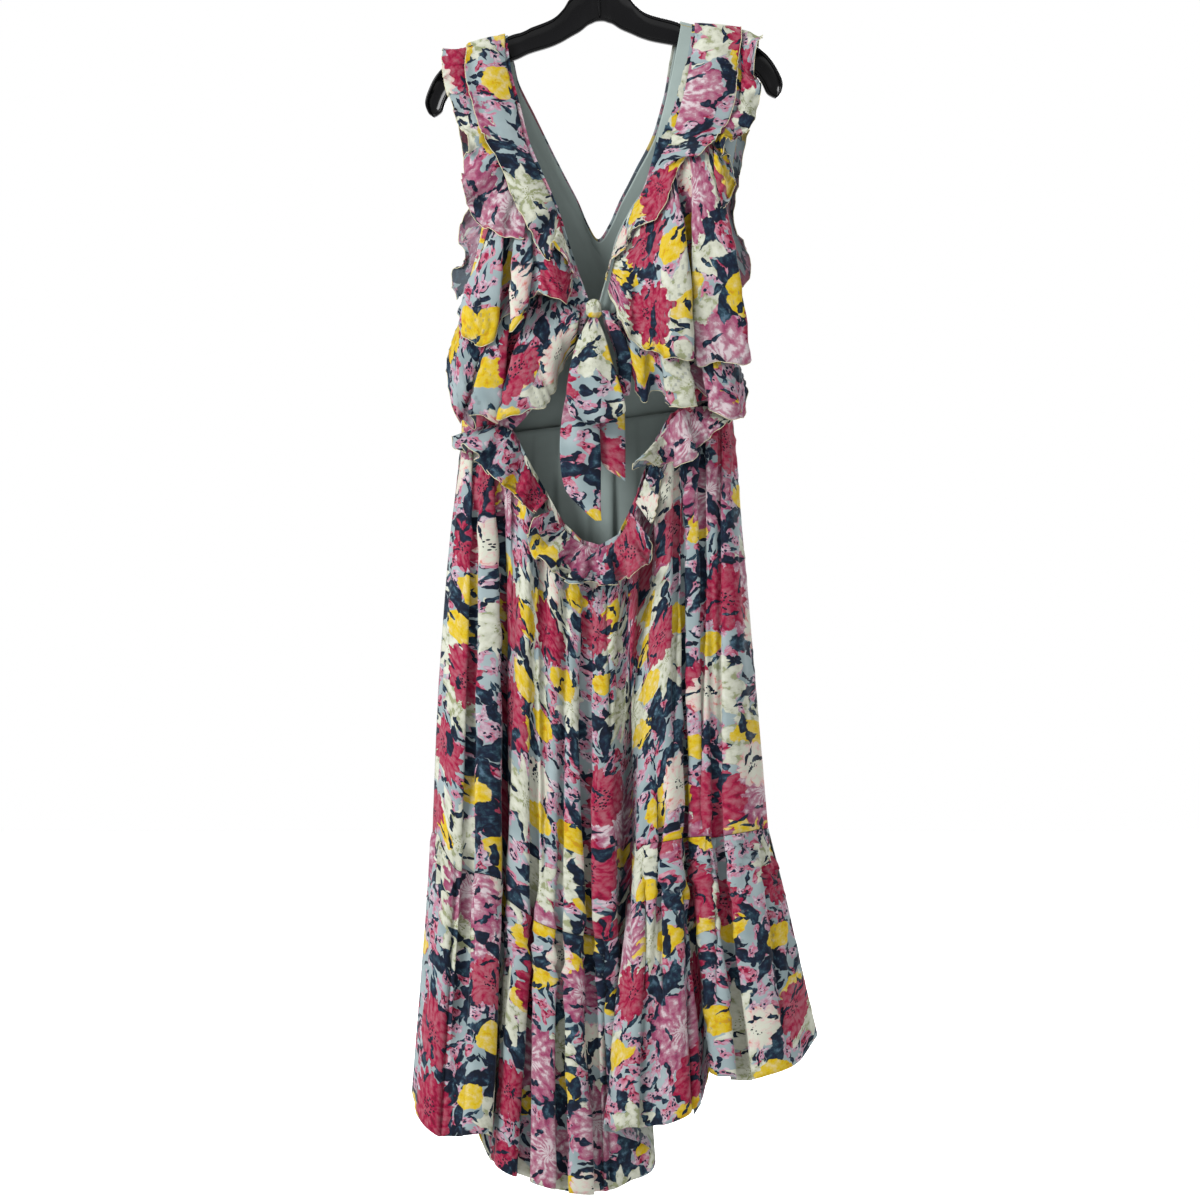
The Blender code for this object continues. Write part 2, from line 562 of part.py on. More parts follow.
CUT_LEFT = table(FRILL, [
    (-151, 628, -168, 622, 14), (-140, 627, -165, 632, 28), (-127, 625, -152, 637, 36),
    (-112, 622, -144, 632, 52), (-98, 620, -133, 654, 42), (-88, 632, -116, 668, 56),
    (-80, 647, -99, 683, 46), (-71, 664, -88, 694, 56), (-62, 680, -78, 703, 50),
    (-54, 692, -68, 708, 62)])
CUT_CENTRE = table(FRILL, [
    (-48, 705, -62, 712, 58), (-41, 718, -75, 725, 66), (-35, 727, -75, 751, 52),
    (-26, 737, -57, 768, 66), (-16, 744, -38, 783, 54), (-6, 748, -24, 792, 64),
    (5, 751, -4, 790, 54), (15, 747, 17, 794, 64), (25, 741, 31, 787, 54),
    (33, 732, 50, 777, 66), (39, 720, 67, 765, 56), (43, 708, 66, 740, 60)])
CUT_RIGHT = table(FRILL, [
    (49, 697, 68, 722, 52), (55, 683, 74, 699, 60), (61, 666, 77, 680, 48),
    (67, 649, 82, 664, 54), (73, 632, 69, 657, 48), (80, 616, 50, 650, 64),
    (90, 600, 83, 652, 50), (100, 590, 109, 650, 60), (112, 585, 126, 629, 42),
    (128, 583, 144, 612, 46), (143, 583, 156, 603, 34), (157, 584, 167, 596, 12)])
FRILL_ROWS = 3             # pieces from seam to hem
FRILL_CROWN = 0.12         # bulge of a frill as a share of its width


def frill(name, rows, base, layers, facing, paint):
    """A gathered frill: its seam on `base`, its waves over `layers`, its hem as tabled.

    Rows run along the seam; from seam to hem the cloth falls on a shallow arc whose height
    is a fixed share of the frill's width there.
    """
    keys = np.stack([rows[key] for key in FRILL.split()], axis=1)
    fine = spline(keys, 2)
    seam = sew_on(fine[:, 0], fine[:, 1], base, facing)
    hem = place(fine[:, 2], fine[:, 3], facing * fine[:, 4])
    v = np.linspace(0, 1, FRILL_ROWS + 1)[:, None, None]
    grid = seam * (1 - v) + hem * v
    width = np.linalg.norm(hem - seam, axis=1)
    grid[:, :, 1] -= facing * FRILL_CROWN * width[None, :] * np.sin(math.pi * v[:, :, 0])
    grid[:1] = lay_over(grid[:1], layers, facing, SEAM_GAP)
    grid[1:] = lay_over(grid[1:], layers, facing)
    return cloth(name, grid, paint)


# ---------------------------------------------------------------- tie

KNOT = dict(x=0 * MM, drop=470 * MM, out=54.2 * MM, radii=(10 * MM, 9.5 * MM, 12 * MM))
KNOT_PINCH = dict(share=0.16, spread=4 * MM)   # the waist pulled into the knot's sides
KNOT_GAP = 0.45 * MM       # from the knot to the end of a strip's middle line
STRIP = "left_x right_x drop out crown"
STRIP_POINTS = 5           # across a band of the tie
LOOP_FRONT = table(STRIP, [
    (-9, 7, 489, 62, 2), (-17, 13, 503, 70, 5), (-27, 22, 535, 75, 6), (-32, 32, 566, 74, 5),
    (-30, 37, 586, 72, 3), (-27, 36, 594, 67, 1), (-28, 35, 586, 62, -1),
    (-25, 27, 560, 62, -2), (-18, 18, 530, 61, -2), (-8, 8, 500, 58, -1), (-5, 5, 490, 55, 0)])
LOOP_SIDE = table(STRIP, [
    (8.6, 17, 472, 57, 1), (16, 29, 490, 61, 2), (27, 43, 525, 59, 3), (30, 43, 560, 55, 2),
    (31, 41, 571, 52, 0), (30, 41, 560, 51, -1), (24, 38, 520, 52, -1), (13, 23, 490, 52, -1),
    (8.7, 16, 474, 51, 0)])
TAIL_LEFT = table(STRIP, [
    (-8, -1, 489, 51, 0), (-16, 2, 520, 49, 2), (-30, 4, 560, 47, 4), (-38, 6, 600, 48, 5),
    (-40, 8, 640, 50, 5), (-34, 8, 680, 50, 4), (-14, 8, 704, 50, 2), (2, 9, 718, 50, 0)])
TAIL_RIGHT = table(STRIP, [
    (1, 8, 489, 49, 0), (4, 18, 525, 43, 1), (6, 34, 560, 40, 2), (4, 36, 592, 39, 3),
    (1, 37, 625, 40, 3), (8, 37, 652, 41, 3), (14, 37, 664, 41, 2)])


def to_knot(points):
    """Points drawn in along their lines to the knot's middle until they almost touch it."""
    centre = place(KNOT["x"], KNOT["drop"], KNOT["out"])
    grown = np.array(KNOT["radii"]) + KNOT_GAP
    away = points - centre
    return centre + away / np.linalg.norm(away / grown, axis=1, keepdims=True)


def strip(name, rows, paint, tied=()):
    """A band of the tie: rows along its length, bowed across its width by its crown.

    The rows in `tied` end at the knot.
    """
    keys = np.stack([rows[key] for key in STRIP.split()], axis=1)
    left, right, drop, out, crown = spline(keys, 2).T
    u = np.linspace(0, 1, STRIP_POINTS)
    x = left[:, None] + (right - left)[:, None] * u
    bowed = out[:, None] + crown[:, None] * np.sin(math.pi * u)
    grid = place(x, drop[:, None], bowed)
    for row in tied:
        grid[row] = to_knot(grid[row])
    return cloth(name, grid, paint)


def make_tie(paint):
    build = bmesh.new()
    bmesh.ops.create_uvsphere(build, u_segments=16, v_segments=9, radius=1.0)
    bmesh.ops.scale(build, verts=build.verts, vec=KNOT["radii"])
    for vert in build.verts:
        pinch = 1 - KNOT_PINCH["share"] * math.exp(-(vert.co.z / KNOT_PINCH["spread"]) ** 2)
        vert.co.x *= pinch
    mesh = bpy.data.meshes.new("tie_knot")
    build.to_mesh(mesh)
    build.free()
    mesh.shade_smooth()
    knot = add_object("tie_knot", mesh, paint)
    knot.location = (KNOT["x"], -KNOT["out"], -KNOT["drop"])
    strip("tie_loop_front", LOOP_FRONT, paint, (0, -1))
    strip("tie_loop_side", LOOP_SIDE, paint)
    strip("tie_tail_left", TAIL_LEFT, paint, (0,))
    strip("tie_tail_right", TAIL_RIGHT, paint, (0,))


# ---------------------------------------------------------------- the whole part


def make_frills(left, right, skirt, front, paint):
    """Frills in the order they lie, each over the ones made before it."""
    for side, base, tables in (
            ("left", left, (LOW_LEFT, MID_LEFT, ARM_LEFT, NECK_LEFT)),
            ("right", right, (LOW_RIGHT, MID_RIGHT, ARM_RIGHT, NECK_RIGHT))):
        ground = tree(base)
        layers = [ground]
        names = ("lower_flounce_", "middle_flounce_", "arm_frill_back_", "neck_frill_")
        for name, rows in zip(names, tables):
            layers.append(tree(frill(name + side, rows, ground, layers, 1, paint)))
    ground = tree(skirt)
    layers = [ground]
    for name, rows in (("cutout_frill_centre", CUT_CENTRE), ("cutout_frill_left", CUT_LEFT),
                       ("cutout_frill_right", CUT_RIGHT)):
        layers.append(tree(frill(name, rows, ground, layers, 1, paint)))
    ground = tree(front)
    frill("arm_frill_front_left", FRONT_ARM_LEFT, ground, [ground], -1, paint)
    frill("arm_frill_front_right", FRONT_ARM_RIGHT, ground, [ground], -1, paint)


def main():
    for old in list(bpy.data.objects):
        bpy.data.objects.remove(old, do_unlink=True)
    chiffon = material("printed_chiffon", (0.42, 0.31, 0.36))
    lining = material("sage_lining", (0.27, 0.34, 0.32))
    plastic = material("black_plastic", (0.012, 0.012, 0.013), 0.25)
    steel = material("chromed_wire", (0.6, 0.6, 0.62), 0.2, 1.0)
    make_hanger(plastic, steel)
    skirt = make_skirt(chiffon)
    front = make_front(chiffon, lining)
    make_skirt_lining(lining)
    left = back_half("back_bodice_left", LEFT_ARM_EDGE, LEFT_NECK_EDGE, LEFT_LOW_EDGE, -1,
                     chiffon)
    right = back_half("back_bodice_right", RIGHT_NECK_EDGE, RIGHT_ARM_EDGE, RIGHT_LOW_EDGE, 1,
                      chiffon)
    make_frills(left, right, skirt, front, chiffon)
    make_tie(chiffon)


main()
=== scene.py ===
"""Looks of a ruffled floral maxi dress on a hanger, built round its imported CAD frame.

Tables are in millimetres: x to the viewer's right, "drop" down from the hook's bearing point and
"out" from the hanger's middle plane towards the open tied back (negative = the plain front).
A cloth piece is a grid of points, rows running down and columns running right as seen from the
side that its printed face looks to.
"""

import math
from functools import partial

import bpy
import numpy as np
from bpy.props import FloatProperty, FloatVectorProperty, PointerProperty
from mathutils import Matrix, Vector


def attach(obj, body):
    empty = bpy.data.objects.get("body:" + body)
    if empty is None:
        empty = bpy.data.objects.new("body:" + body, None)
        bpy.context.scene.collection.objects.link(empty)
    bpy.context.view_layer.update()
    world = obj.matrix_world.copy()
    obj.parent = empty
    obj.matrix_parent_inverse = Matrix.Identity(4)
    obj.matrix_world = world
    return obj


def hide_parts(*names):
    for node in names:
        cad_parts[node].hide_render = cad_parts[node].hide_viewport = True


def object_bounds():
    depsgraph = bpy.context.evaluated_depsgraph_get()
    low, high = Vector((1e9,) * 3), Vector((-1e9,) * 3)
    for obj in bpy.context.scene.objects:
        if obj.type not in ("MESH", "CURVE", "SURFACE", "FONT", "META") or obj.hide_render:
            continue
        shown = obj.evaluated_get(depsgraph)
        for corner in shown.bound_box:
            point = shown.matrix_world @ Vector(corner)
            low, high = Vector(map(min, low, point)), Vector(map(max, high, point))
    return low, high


bl_info = {
    "name": "Ruffled maxi dress",
    "version": (1, 0, 0),
    "blender": (4, 5, 0),
    "location": "3D View > Sidebar > Dress",
    "description": "Builds a floral maxi dress with a tied open back on its hanger",
    "category": "Add Mesh",
}

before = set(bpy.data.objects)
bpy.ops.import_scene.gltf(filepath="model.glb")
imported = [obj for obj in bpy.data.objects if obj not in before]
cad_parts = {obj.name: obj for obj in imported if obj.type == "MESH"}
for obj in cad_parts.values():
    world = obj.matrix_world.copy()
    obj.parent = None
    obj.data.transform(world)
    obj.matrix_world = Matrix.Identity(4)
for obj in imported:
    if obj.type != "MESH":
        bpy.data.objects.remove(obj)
CAD_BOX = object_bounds()

MM = 0.001
TAU = 2 * math.pi

# ---------------------------------------------------------------- fixed sizes
CAD_WALL = 1.2 * MM        # wall of the solids that the cloth stands in for
SEAM_GAP = 0.3 * MM        # play between pieces that are sewn together
LAYER_GAP = 1.3 * MM       # play between a frill and the cloth that it lies on
HANGER_TILT = math.radians(3.2)            # the right arm is the higher one
DYE = 0.32                 # share of a colour's light that dyed cloth sends back
DEPTH_SHARE = 0.55         # of a length in depth, in the measure of the print


def linear(code):
    """Scene-linear colour of an sRGB hex code."""
    parts = [int(code[k:k + 2], 16) / 255 for k in (1, 3, 5)]
    return tuple(c / 12.92 if c <= 0.04045 else ((c + 0.055) / 1.055) ** 2.4 for c in parts)


# ---------------------------------------------------------------- properties


class DressCloth(bpy.types.PropertyGroup):
    """Sizes of the cloth itself."""

    thickness: FloatProperty(name="Cloth thickness", description="Wall of one layer of chiffon",
                             default=0.55 * MM, min=0.2 * MM, max=1.2 * MM, unit="LENGTH")
    thread: FloatProperty(name="Rolled hem", description="Radius of the thread-covered frill edge",
                          default=0.45 * MM, min=0.3 * MM, max=2 * MM, unit="LENGTH")
    pitch: FloatProperty(name="Gather pitch", description="Mean spacing of the small gathers",
                         default=12 * MM, min=5 * MM, max=30 * MM, unit="LENGTH")
    pucker: FloatProperty(name="Gather depth", description="Depth of the small gathers at a seam",
                          default=2.2 * MM, min=0, max=6 * MM, unit="LENGTH")


class DressColours(bpy.types.PropertyGroup):
    """Main colours of the print, the lining, the thread and the hanger."""

    ground: FloatVectorProperty(name="Ground", description="Pale blue-grey behind the flowers",
                                default=linear("#ABC0C4"), size=3, subtype="COLOR")
    magenta: FloatVectorProperty(name="Magenta", description="Dahlias",
                                 default=linear("#B01046"), size=3, subtype="COLOR")
    mauve: FloatVectorProperty(name="Mauve", description="Dusty rose dahlias",
                               default=linear("#AD4E76"), size=3, subtype="COLOR")
    yellow: FloatVectorProperty(name="Yellow", description="Poppies",
                                default=linear("#ECCB0E"), size=3, subtype="COLOR")
    cream: FloatVectorProperty(name="Cream", description="Pointed cream flowers",
                               default=linear("#E7EAD6"), size=3, subtype="COLOR")
    navy: FloatVectorProperty(name="Navy", description="Leaves",
                              default=linear("#14243E"), size=3, subtype="COLOR")
    lining: FloatVectorProperty(name="Lining", description="Sage-grey lining",
                                default=linear("#93A29E"), size=3, subtype="COLOR")
    thread: FloatVectorProperty(name="Thread", description="Thread over the rolled edges",
                                default=linear("#EFE7BC"), size=3, subtype="COLOR")
    plastic: FloatVectorProperty(name="Hanger", description="Moulded plastic",
                                 default=linear("#070708"), size=3, subtype="COLOR")


class DressStage(bpy.types.PropertyGroup):
    """Light, floor and camera."""

    distance: FloatProperty(name="Camera distance", description="From the hanger's plane",
                            default=5.5, min=2, max=20, unit="LENGTH")
    key: FloatProperty(name="Key light", description="Power of the large soft light",
                       default=330, min=0, subtype="POWER")
    fill: FloatProperty(name="Fill light", description="Power of the light opposite the key",
                        default=14, min=0, subtype="POWER")


# ---------------------------------------------------------------- surfaces


def table(names, rows):
    """Rows of millimetres as a dictionary of named columns in metres."""
    values = np.array(rows, float) * MM
    return dict(zip(names.split(), values.T))


def columns_of(rows, names):
    """The named columns of a table side by side, one row to a point."""
    return np.stack([rows[name] for name in names.split()], axis=1)


def between(ends, share):
    """The value at a share of the way from the first end to the last."""
    return ends[0] + (ends[-1] - ends[0]) * share


def from_ends(count):
    """Places in a row of so many, counted from the nearer end."""
    return np.minimum(np.arange(count), np.arange(count)[::-1])


def spline(keys, steps):
    """Catmull-Rom curve through the rows of keys, with `steps` pieces between two rows."""
    keys = np.asarray(keys, float)
    if steps == 1:
        return keys
    before = 2 * keys[:1] - keys[1:2]
    after = 2 * keys[-1:] - keys[-2:-1]
    padded = np.concatenate([before, keys, after])
    t = (np.arange(steps) / steps).reshape((1, steps) + (1,) * (keys.ndim - 1))
    p0, p1, p2, p3 = (padded[k:k + len(keys) - 1][:, None] for k in range(4))
    curve = p1 + 0.5 * t * (p2 - p0 + t * (2 * p0 - 5 * p1 + 4 * p2 - p3
                                           + t * (3 * (p1 - p2) + p3 - p0)))
    curve = curve.reshape((-1,) + keys.shape[1:])
    return np.concatenate([curve, keys[-1:]])


def refine(grid, down, across):
    """The grid with `down` pieces between two rows and `across` between two columns."""
    tall = spline(grid, down)
    return spline(tall.swapaxes(0, 1), across).swapaxes(0, 1)


def place(x, drop, out):
    """Points in world space from x, drop and out."""
    x, drop, out = np.broadcast_arrays(x, drop, out)
    return np.stack([x, -out, -drop], axis=-1)


def unit(vectors):
    """The vectors divided by their lengths."""
    length = np.linalg.norm(vectors, axis=-1, keepdims=True)
    return vectors / np.maximum(length, 1e-9)


def facing_of(grid):
    """Unit normals of a grid: the way down its rows crossed with the way along them."""
    return unit(np.cross(np.gradient(grid, axis=0), np.gradient(grid, axis=1)))


def arc_length(grid, axis):
    """Length along the grid's lines, from the first point of each."""
    steps = np.linalg.norm(np.diff(grid, axis=axis), axis=2)
    pad = [(0, 0), (0, 0)]
    pad[axis] = (1, 0)
    return np.pad(np.cumsum(steps, axis=axis), pad)


def cloth_uv(grid, shift, plain=False):
    """Lengths over the cloth in metres: along the rows from the middle, and down the columns.

    Each column keeps its mean place over all rows, so the print runs straight down. Depth
    counts by DEPTH_SHARE, since the cloth in a fold's flank is drawn together. A plain
    piece lies almost flat, so its own x and z serve.
    """
    if plain:
        return grid[..., [0, 2]] + shift
    flat = grid * (1, DEPTH_SHARE, 1)
    across = arc_length(flat, 1)
    across = (across - across[:, across.shape[1] // 2][:, None]).mean(axis=0)
    down = arc_length(flat, 0).mean(axis=1)
    u, v = np.meshgrid(across + shift[0], shift[1] - down)
    return np.stack([u, v], axis=-1)


def grid_faces(rows, columns):
    """Quads of a grid of rows x columns points."""
    first = (np.arange(rows - 1)[:, None] * columns + np.arange(columns - 1)).ravel()
    return np.stack([first, first + columns, first + columns + 1, first + 1], axis=1)


def wall(grid, thickness, shift, plain=False):
    """A closed wall: the grid moved half the thickness to each side along its normals.

    The two skins are joined round the rim. The reverse has slot 1, the face and the rim 0.
    """
    rows, columns = grid.shape[:2]
    size = rows * columns
    away = facing_of(grid) * thickness / 2
    points = np.concatenate([(grid + away).reshape(-1, 3), (grid - away).reshape(-1, 3)])
    quads = grid_faces(rows, columns)
    number = np.arange(size).reshape(rows, columns)
    ring = np.concatenate([number[0, :-1], number[:-1, -1], number[-1, :0:-1], number[:0:-1, 0]])
    after = np.roll(ring, -1)
    rim = np.stack([ring, after, after + size, ring + size], axis=1)
    uv = np.tile(cloth_uv(grid, shift, plain).reshape(-1, 2), (2, 1))
    faces = np.concatenate([quads, quads[:, ::-1] + size, rim])
    slot = np.repeat((0, 1, 0), [len(quads), len(quads), len(rim)])
    return points, faces, uv, slot


def sleeve_faces(count, sides):
    """Quads round a sleeve of `count` rings, then those that fan both ends shut.

    The fans meet in two points that stand after the rings' own.
    """
    first = np.arange(count - 1)[:, None] * sides
    here = first + np.arange(sides)
    beyond = first + (np.arange(sides) + 1) % sides
    round_about = np.stack([here, beyond, beyond + sides, here + sides], axis=-1).reshape(-1, 4)
    k = np.arange(0, sides, 2)
    start, end, last = count * sides, count * sides + 1, (count - 1) * sides
    cap = np.stack([np.full(len(k), start), (k + 2) % sides, k + 1, k], axis=1)
    lid = np.stack([np.full(len(k), end), last + k, last + k + 1, last + (k + 2) % sides], axis=1)
    return np.concatenate([round_about, cap, lid])


def tube(path, beside, radius, slot, sides=6):
    """A circle carried along a path; `beside` is a vector across the path at each point."""
    along = unit(np.gradient(path, axis=0))
    right = unit(beside - along * np.sum(beside * along, axis=1, keepdims=True))
    up = np.cross(along, right)
    turn = TAU * np.arange(sides) / sides
    ring = right[:, None] * np.cos(turn)[:, None] + up[:, None] * np.sin(turn)[:, None]
    radii = np.broadcast_to(radius, len(path))[:, None, None]
    points = path[:, None] + ring * radii
    points = np.concatenate([points.reshape(-1, 3), path[:1], path[-1:]])
    faces = sleeve_faces(len(path), sides)
    run = arc_length(path[:, None], 0)[:, 0]
    uv = np.stack(np.broadcast_arrays(run[:, None], turn * np.mean(radius)), axis=-1)
    uv = np.concatenate([uv.reshape(-1, 2), [[run[0], 0], [run[-1], 0]]])
    return points, faces, uv, np.full(len(faces), slot)


def closed_sleeve(rings, shift=(0, 0)):
    """Rings of points joined one to the next and fanned shut at both ends' middles."""
    points = np.concatenate([rings.reshape(-1, 3), rings[:1].mean(axis=1), rings[-1:].mean(axis=1)])
    faces = sleeve_faces(*rings.shape[:2])
    return points, faces, points[:, [0, 2]] + shift, np.zeros(len(faces), int)


def add_object(name, data):
    """A new object in the scene, at the origin."""
    made = bpy.data.objects.new(name, data)
    bpy.context.scene.collection.objects.link(made)
    return made


def add_piece(name, parts, paints, cad_nodes):
    """One mesh object from parts of (points, quads, uv, slots), riding on the root body."""
    points, uv, slots = (np.concatenate([part[k] for part in parts]) for k in (0, 2, 3))
    starts = np.cumsum([0] + [len(part[0]) for part in parts])
    faces = np.concatenate([part[1] + start for part, start in zip(parts, starts)])
    mesh = bpy.data.meshes.new(name)
    mesh.vertices.add(len(points))
    mesh.vertices.foreach_set("co", points.ravel())
    mesh.loops.add(faces.size)
    mesh.loops.foreach_set("vertex_index", faces.ravel())
    mesh.polygons.add(len(faces))
    mesh.polygons.foreach_set("loop_start", np.arange(len(faces)) * 4)
    mesh.polygons.foreach_set("loop_total", np.full(len(faces), 4))
    mesh.polygons.foreach_set("material_index", slots.astype(np.int32))
    layer = mesh.uv_layers.new(name="Cloth")
    layer.data.foreach_set("uv", uv[faces.ravel()].ravel())
    mesh.update(calc_edges=True)
    mesh.validate()
    mesh.shade_smooth()
    for material in paints:
        mesh.materials.append(material)
    made = add_object(name, mesh)
    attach(made, "root")
    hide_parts(*cad_nodes)
    return made


# ---------------------------------------------------------------- how far the cloth reaches

# The map holds, for each square of x and z, how far out the cloth already reaches.
MAP_CELL = 2 * MM
MAP_START = (-0.30, -1.56)                  # x and z of the map's first cell
MAP_SHAPE = (320, 800)
MAP_FILL = 4               # pieces that a cell of cloth is cut into, so that no square is missed
NO_CLOTH = -1.0


def thicken(grid, times):
    """The grid with straight points between its own, `times` as dense each way."""
    for axis, count in enumerate(grid.shape[:2]):
        along = np.linspace(0, count - 1, (count - 1) * times + 1)
        low = np.minimum(along.astype(int), count - 2)
        share = np.expand_dims(along - low, (1 - axis, 2))
        grid = np.take(grid, low, axis) * (1 - share) + np.take(grid, low + 1, axis) * share
    return grid


def cells_of(points):
    """Map cells that the points fall in."""
    index = [((points[..., axis] - start) / MAP_CELL).astype(int)
             for axis, start in zip((0, 2), MAP_START)]
    return [np.clip(i, 0, size - 1) for i, size in zip(index, MAP_SHAPE)]


def add_reach(reach, grid, facing):
    """Raise the map to the farthest the grid comes towards the viewer (or away, facing -1)."""
    dense = thicken(grid, MAP_FILL)
    np.maximum.at(reach, tuple(cells_of(dense)), -facing * dense[..., 1])


def widened(reach, cells):
    """The map with each cell raised to the highest cell within `cells` of it."""
    for axis in (0, 1):
        shifts = [np.roll(reach, k, axis) for k in range(-cells, cells + 1)]
        reach = np.max(shifts, axis=0)
    return reach


def lay_over(grid, reach, facing, gap, cells):
    """Push points out along Y until they clear the mapped cloth below them by a gap."""
    level = widened(reach, cells)[tuple(cells_of(grid))]
    laid = grid.copy()
    out = np.where(level > NO_CLOTH, level + gap, NO_CLOTH)
    laid[..., 1] = -facing * np.maximum(-facing * grid[..., 1], out)
    return laid


def softened(values, times):
    """Averages each value with its neighbours in its row and column, `times` over."""
    for _ in range(times):
        padded = np.pad(values, 1, mode="edge")
        values = (padded[1:-1, 1:-1] * 2 + padded[:-2, 1:-1] + padded[2:, 1:-1]
                  + padded[1:-1, :-2] + padded[1:-1, 2:]) / 6
    return values


# ---------------------------------------------------------------- gathers and creases

FLUTE_LIMIT = 9 * MM       # farthest that a point slides along its row
FLUTE_ENDS = 8             # places at each end of a row over which the sliding sets in
CREASE = "x0 drop0 x1 drop1 width depth"


def uneven_wave(length, pitch, seed):
    """Waves along a length, about a pitch apart, none as wide or as high as the next.

    Two slow waves of their own shift each wave's place, and a third changes its height.
    """
    s = length / pitch
    drift = 0.42 * np.sin(TAU * s / 5.3 + seed) + 0.27 * np.sin(TAU * s / 2.7 + 2.1 * seed)
    height = 0.62 + 0.38 * np.sin(TAU * s / 3.9 + 1.7 * seed)
    return np.sin(TAU * (s + drift)) * height


def gather(grid, pitch, depth, fade, seed, from_top=True):
    """Small gathers along a seam, moved along the normals and gone after the fade length.

    At the seam itself they have a quarter of their depth, and an eighth of that length
    down all of it.
    """
    across = arc_length(grid, 1)
    down = arc_length(grid, 0)
    if not from_top:
        down = down[-1:] - down
    rise = np.clip(down / (0.12 * fade), 0.25, 1)
    strength = rise * np.exp(-(down / fade) ** 1.3)
    wave = uneven_wave(across + 0.06 * down, pitch, seed)
    return grid + facing_of(grid) * (depth * strength * wave)[..., None]


def running_mean(values, width):
    """Mean of the values within width places along each row."""
    half = width // 2
    total = np.cumsum(np.pad(values, ((0, 0), (half + 1, half)), mode="edge"), axis=1)
    return (total[:, 2 * half + 1:] - total[:, :-2 * half - 1]) / (2 * half + 1)


def flute(grid, width, strength):
    """Let each fold swell wider than its root, so that its flanks overhang.

    A flank's point slides along its row by -strength x rise x slope, the rise being how far
    out it stands from the row's running mean; nothing moves at the row's two ends.
    """
    rise = grid[..., 1] - running_mean(grid[..., 1], width)
    step = np.gradient(grid, axis=1)
    flat = step * (1, 0, 1)
    slope = np.gradient(rise, axis=1) / np.maximum(np.linalg.norm(flat, axis=2), 0.2 * MM)
    slide = running_mean(np.clip(-strength * rise * slope, -FLUTE_LIMIT, FLUTE_LIMIT), 3)
    ends = np.clip(from_ends(grid.shape[1]) / FLUTE_ENDS, 0, 1)
    way = unit(np.stack([running_mean(flat[..., k], width) for k in range(3)], axis=-1))
    return grid + way * (slide * ends)[..., None]


def crease(grid, rows):
    """Soft troughs (positive depth) and ridges along lines, fading over their end sevenths.

    Across a line the depth falls off as a bell curve of the line's width.
    """
    x, drop = grid[..., 0], -grid[..., 2]
    moved = np.zeros_like(x)
    for x0, drop0, x1, drop1, width, depth in columns_of(rows, CREASE):
        run = np.array([x1 - x0, drop1 - drop0])
        length = np.hypot(*run)
        along = ((x - x0) * run[0] + (drop - drop0) * run[1]) / length ** 2
        aside = ((x - x0) * run[1] - (drop - drop0) * run[0]) / length
        ends = np.clip(2 - 2 * (2 * along - 1) ** 2, 0, 1)
        moved -= depth * ends * np.exp(-(aside / width) ** 2)
    bent = grid.copy()
    bent[..., 1] -= moved
    return bent


# ---------------------------------------------------------------- hanger and hook

# Right half of the hanger before it is tilted: its upper and lower edge, pair by pair.
HANGER_EDGES = table("top_x top_drop under_x under_drop", [
    (0, 62, 0, 126), (6, 62, 5, 126.5), (11.5, 62.5, 9, 128), (14, 72, 15, 130.5),
    (22, 88, 24, 137), (35, 99, 36, 143), (43, 110, 48, 149), (57, 121, 62, 154),
    (87, 131, 86, 160), (112, 139, 104, 167), (150, 149, 140, 176), (176, 161, 164, 186),
    (196, 178, 179, 198), (207, 196, 187, 210), (212, 211, 192, 222), (209, 223, 198, 227),
    (204, 228, 202, 229)])
# Section of the moulding: share of the way down, millimetres from that edge, and depth.
MOULDING = ((0, 0.0, 4.2), (0, 0.4, 5.4), (0, 1.3, 6.0), (0, 2.7, 6.0), (0, 3.5, 5.4),
            (0, 3.9, 3.4), (0, 4.6, 2.3), (1, -4.6, 2.3), (1, -3.9, 3.4), (1, -3.5, 5.4),
            (1, -2.7, 6.0), (1, -1.3, 6.0), (1, -0.4, 5.4), (1, 0.0, 4.2))
NOTCHES = table("x width depth", [(-92, 7, 1.2), (98, 6, 1.2)])
RIB = dict(drops=(64 * MM, 121 * MM), out=2.6 * MM, radius=1.7 * MM, rings=24)
# The wire's thickness, its bend's inner radius, the stem's ends and the arc in degrees.
HOOK = dict(wire=4 * MM, bend=19 * MM, stem=(61.5 * MM, 54 * MM), sweep=(-62, 205))


def tilt(x, drop):
    """Turn a point of the hanger about the hook."""
    return (x * math.cos(HANGER_TILT) + drop * math.sin(HANGER_TILT),
            drop * math.cos(HANGER_TILT) - x * math.sin(HANGER_TILT))


def hanger_part():
    """An I-shaped section with rounded rims, carried from tip to tip between two edges."""
    right = columns_of(HANGER_EDGES, "top_x top_drop under_x under_drop")
    left = right[:0:-1] * (-1, 1, -1, 1)
    edges = spline(np.concatenate([left, right]), 6)
    for x, width, depth in columns_of(NOTCHES, "x width depth"):
        edges[:, 1] += depth * np.exp(-((edges[:, 0] - x) / width) ** 4)
    top = np.stack(tilt(edges[:, 0], edges[:, 1]), axis=1)
    under = np.stack(tilt(edges[:, 2], edges[:, 3]), axis=1)
    section = np.array(MOULDING + tuple((a, b, -c) for a, b, c in MOULDING[::-1]))
    width = np.linalg.norm(under - top, axis=1)[:, None]
    way = (under - top) / np.maximum(width, 1e-6)
    small = np.clip(width / (11 * MM), 0.05, 1)
    down = section[:, 0] * width + section[:, 1] * MM * small
    flat = top[:, None] + way[:, None] * down[..., None]
    out = section[:, 2] * MM * np.clip(width / (9 * MM), 0.45, 1)
    return closed_sleeve(place(flat[..., 0], flat[..., 1], out))


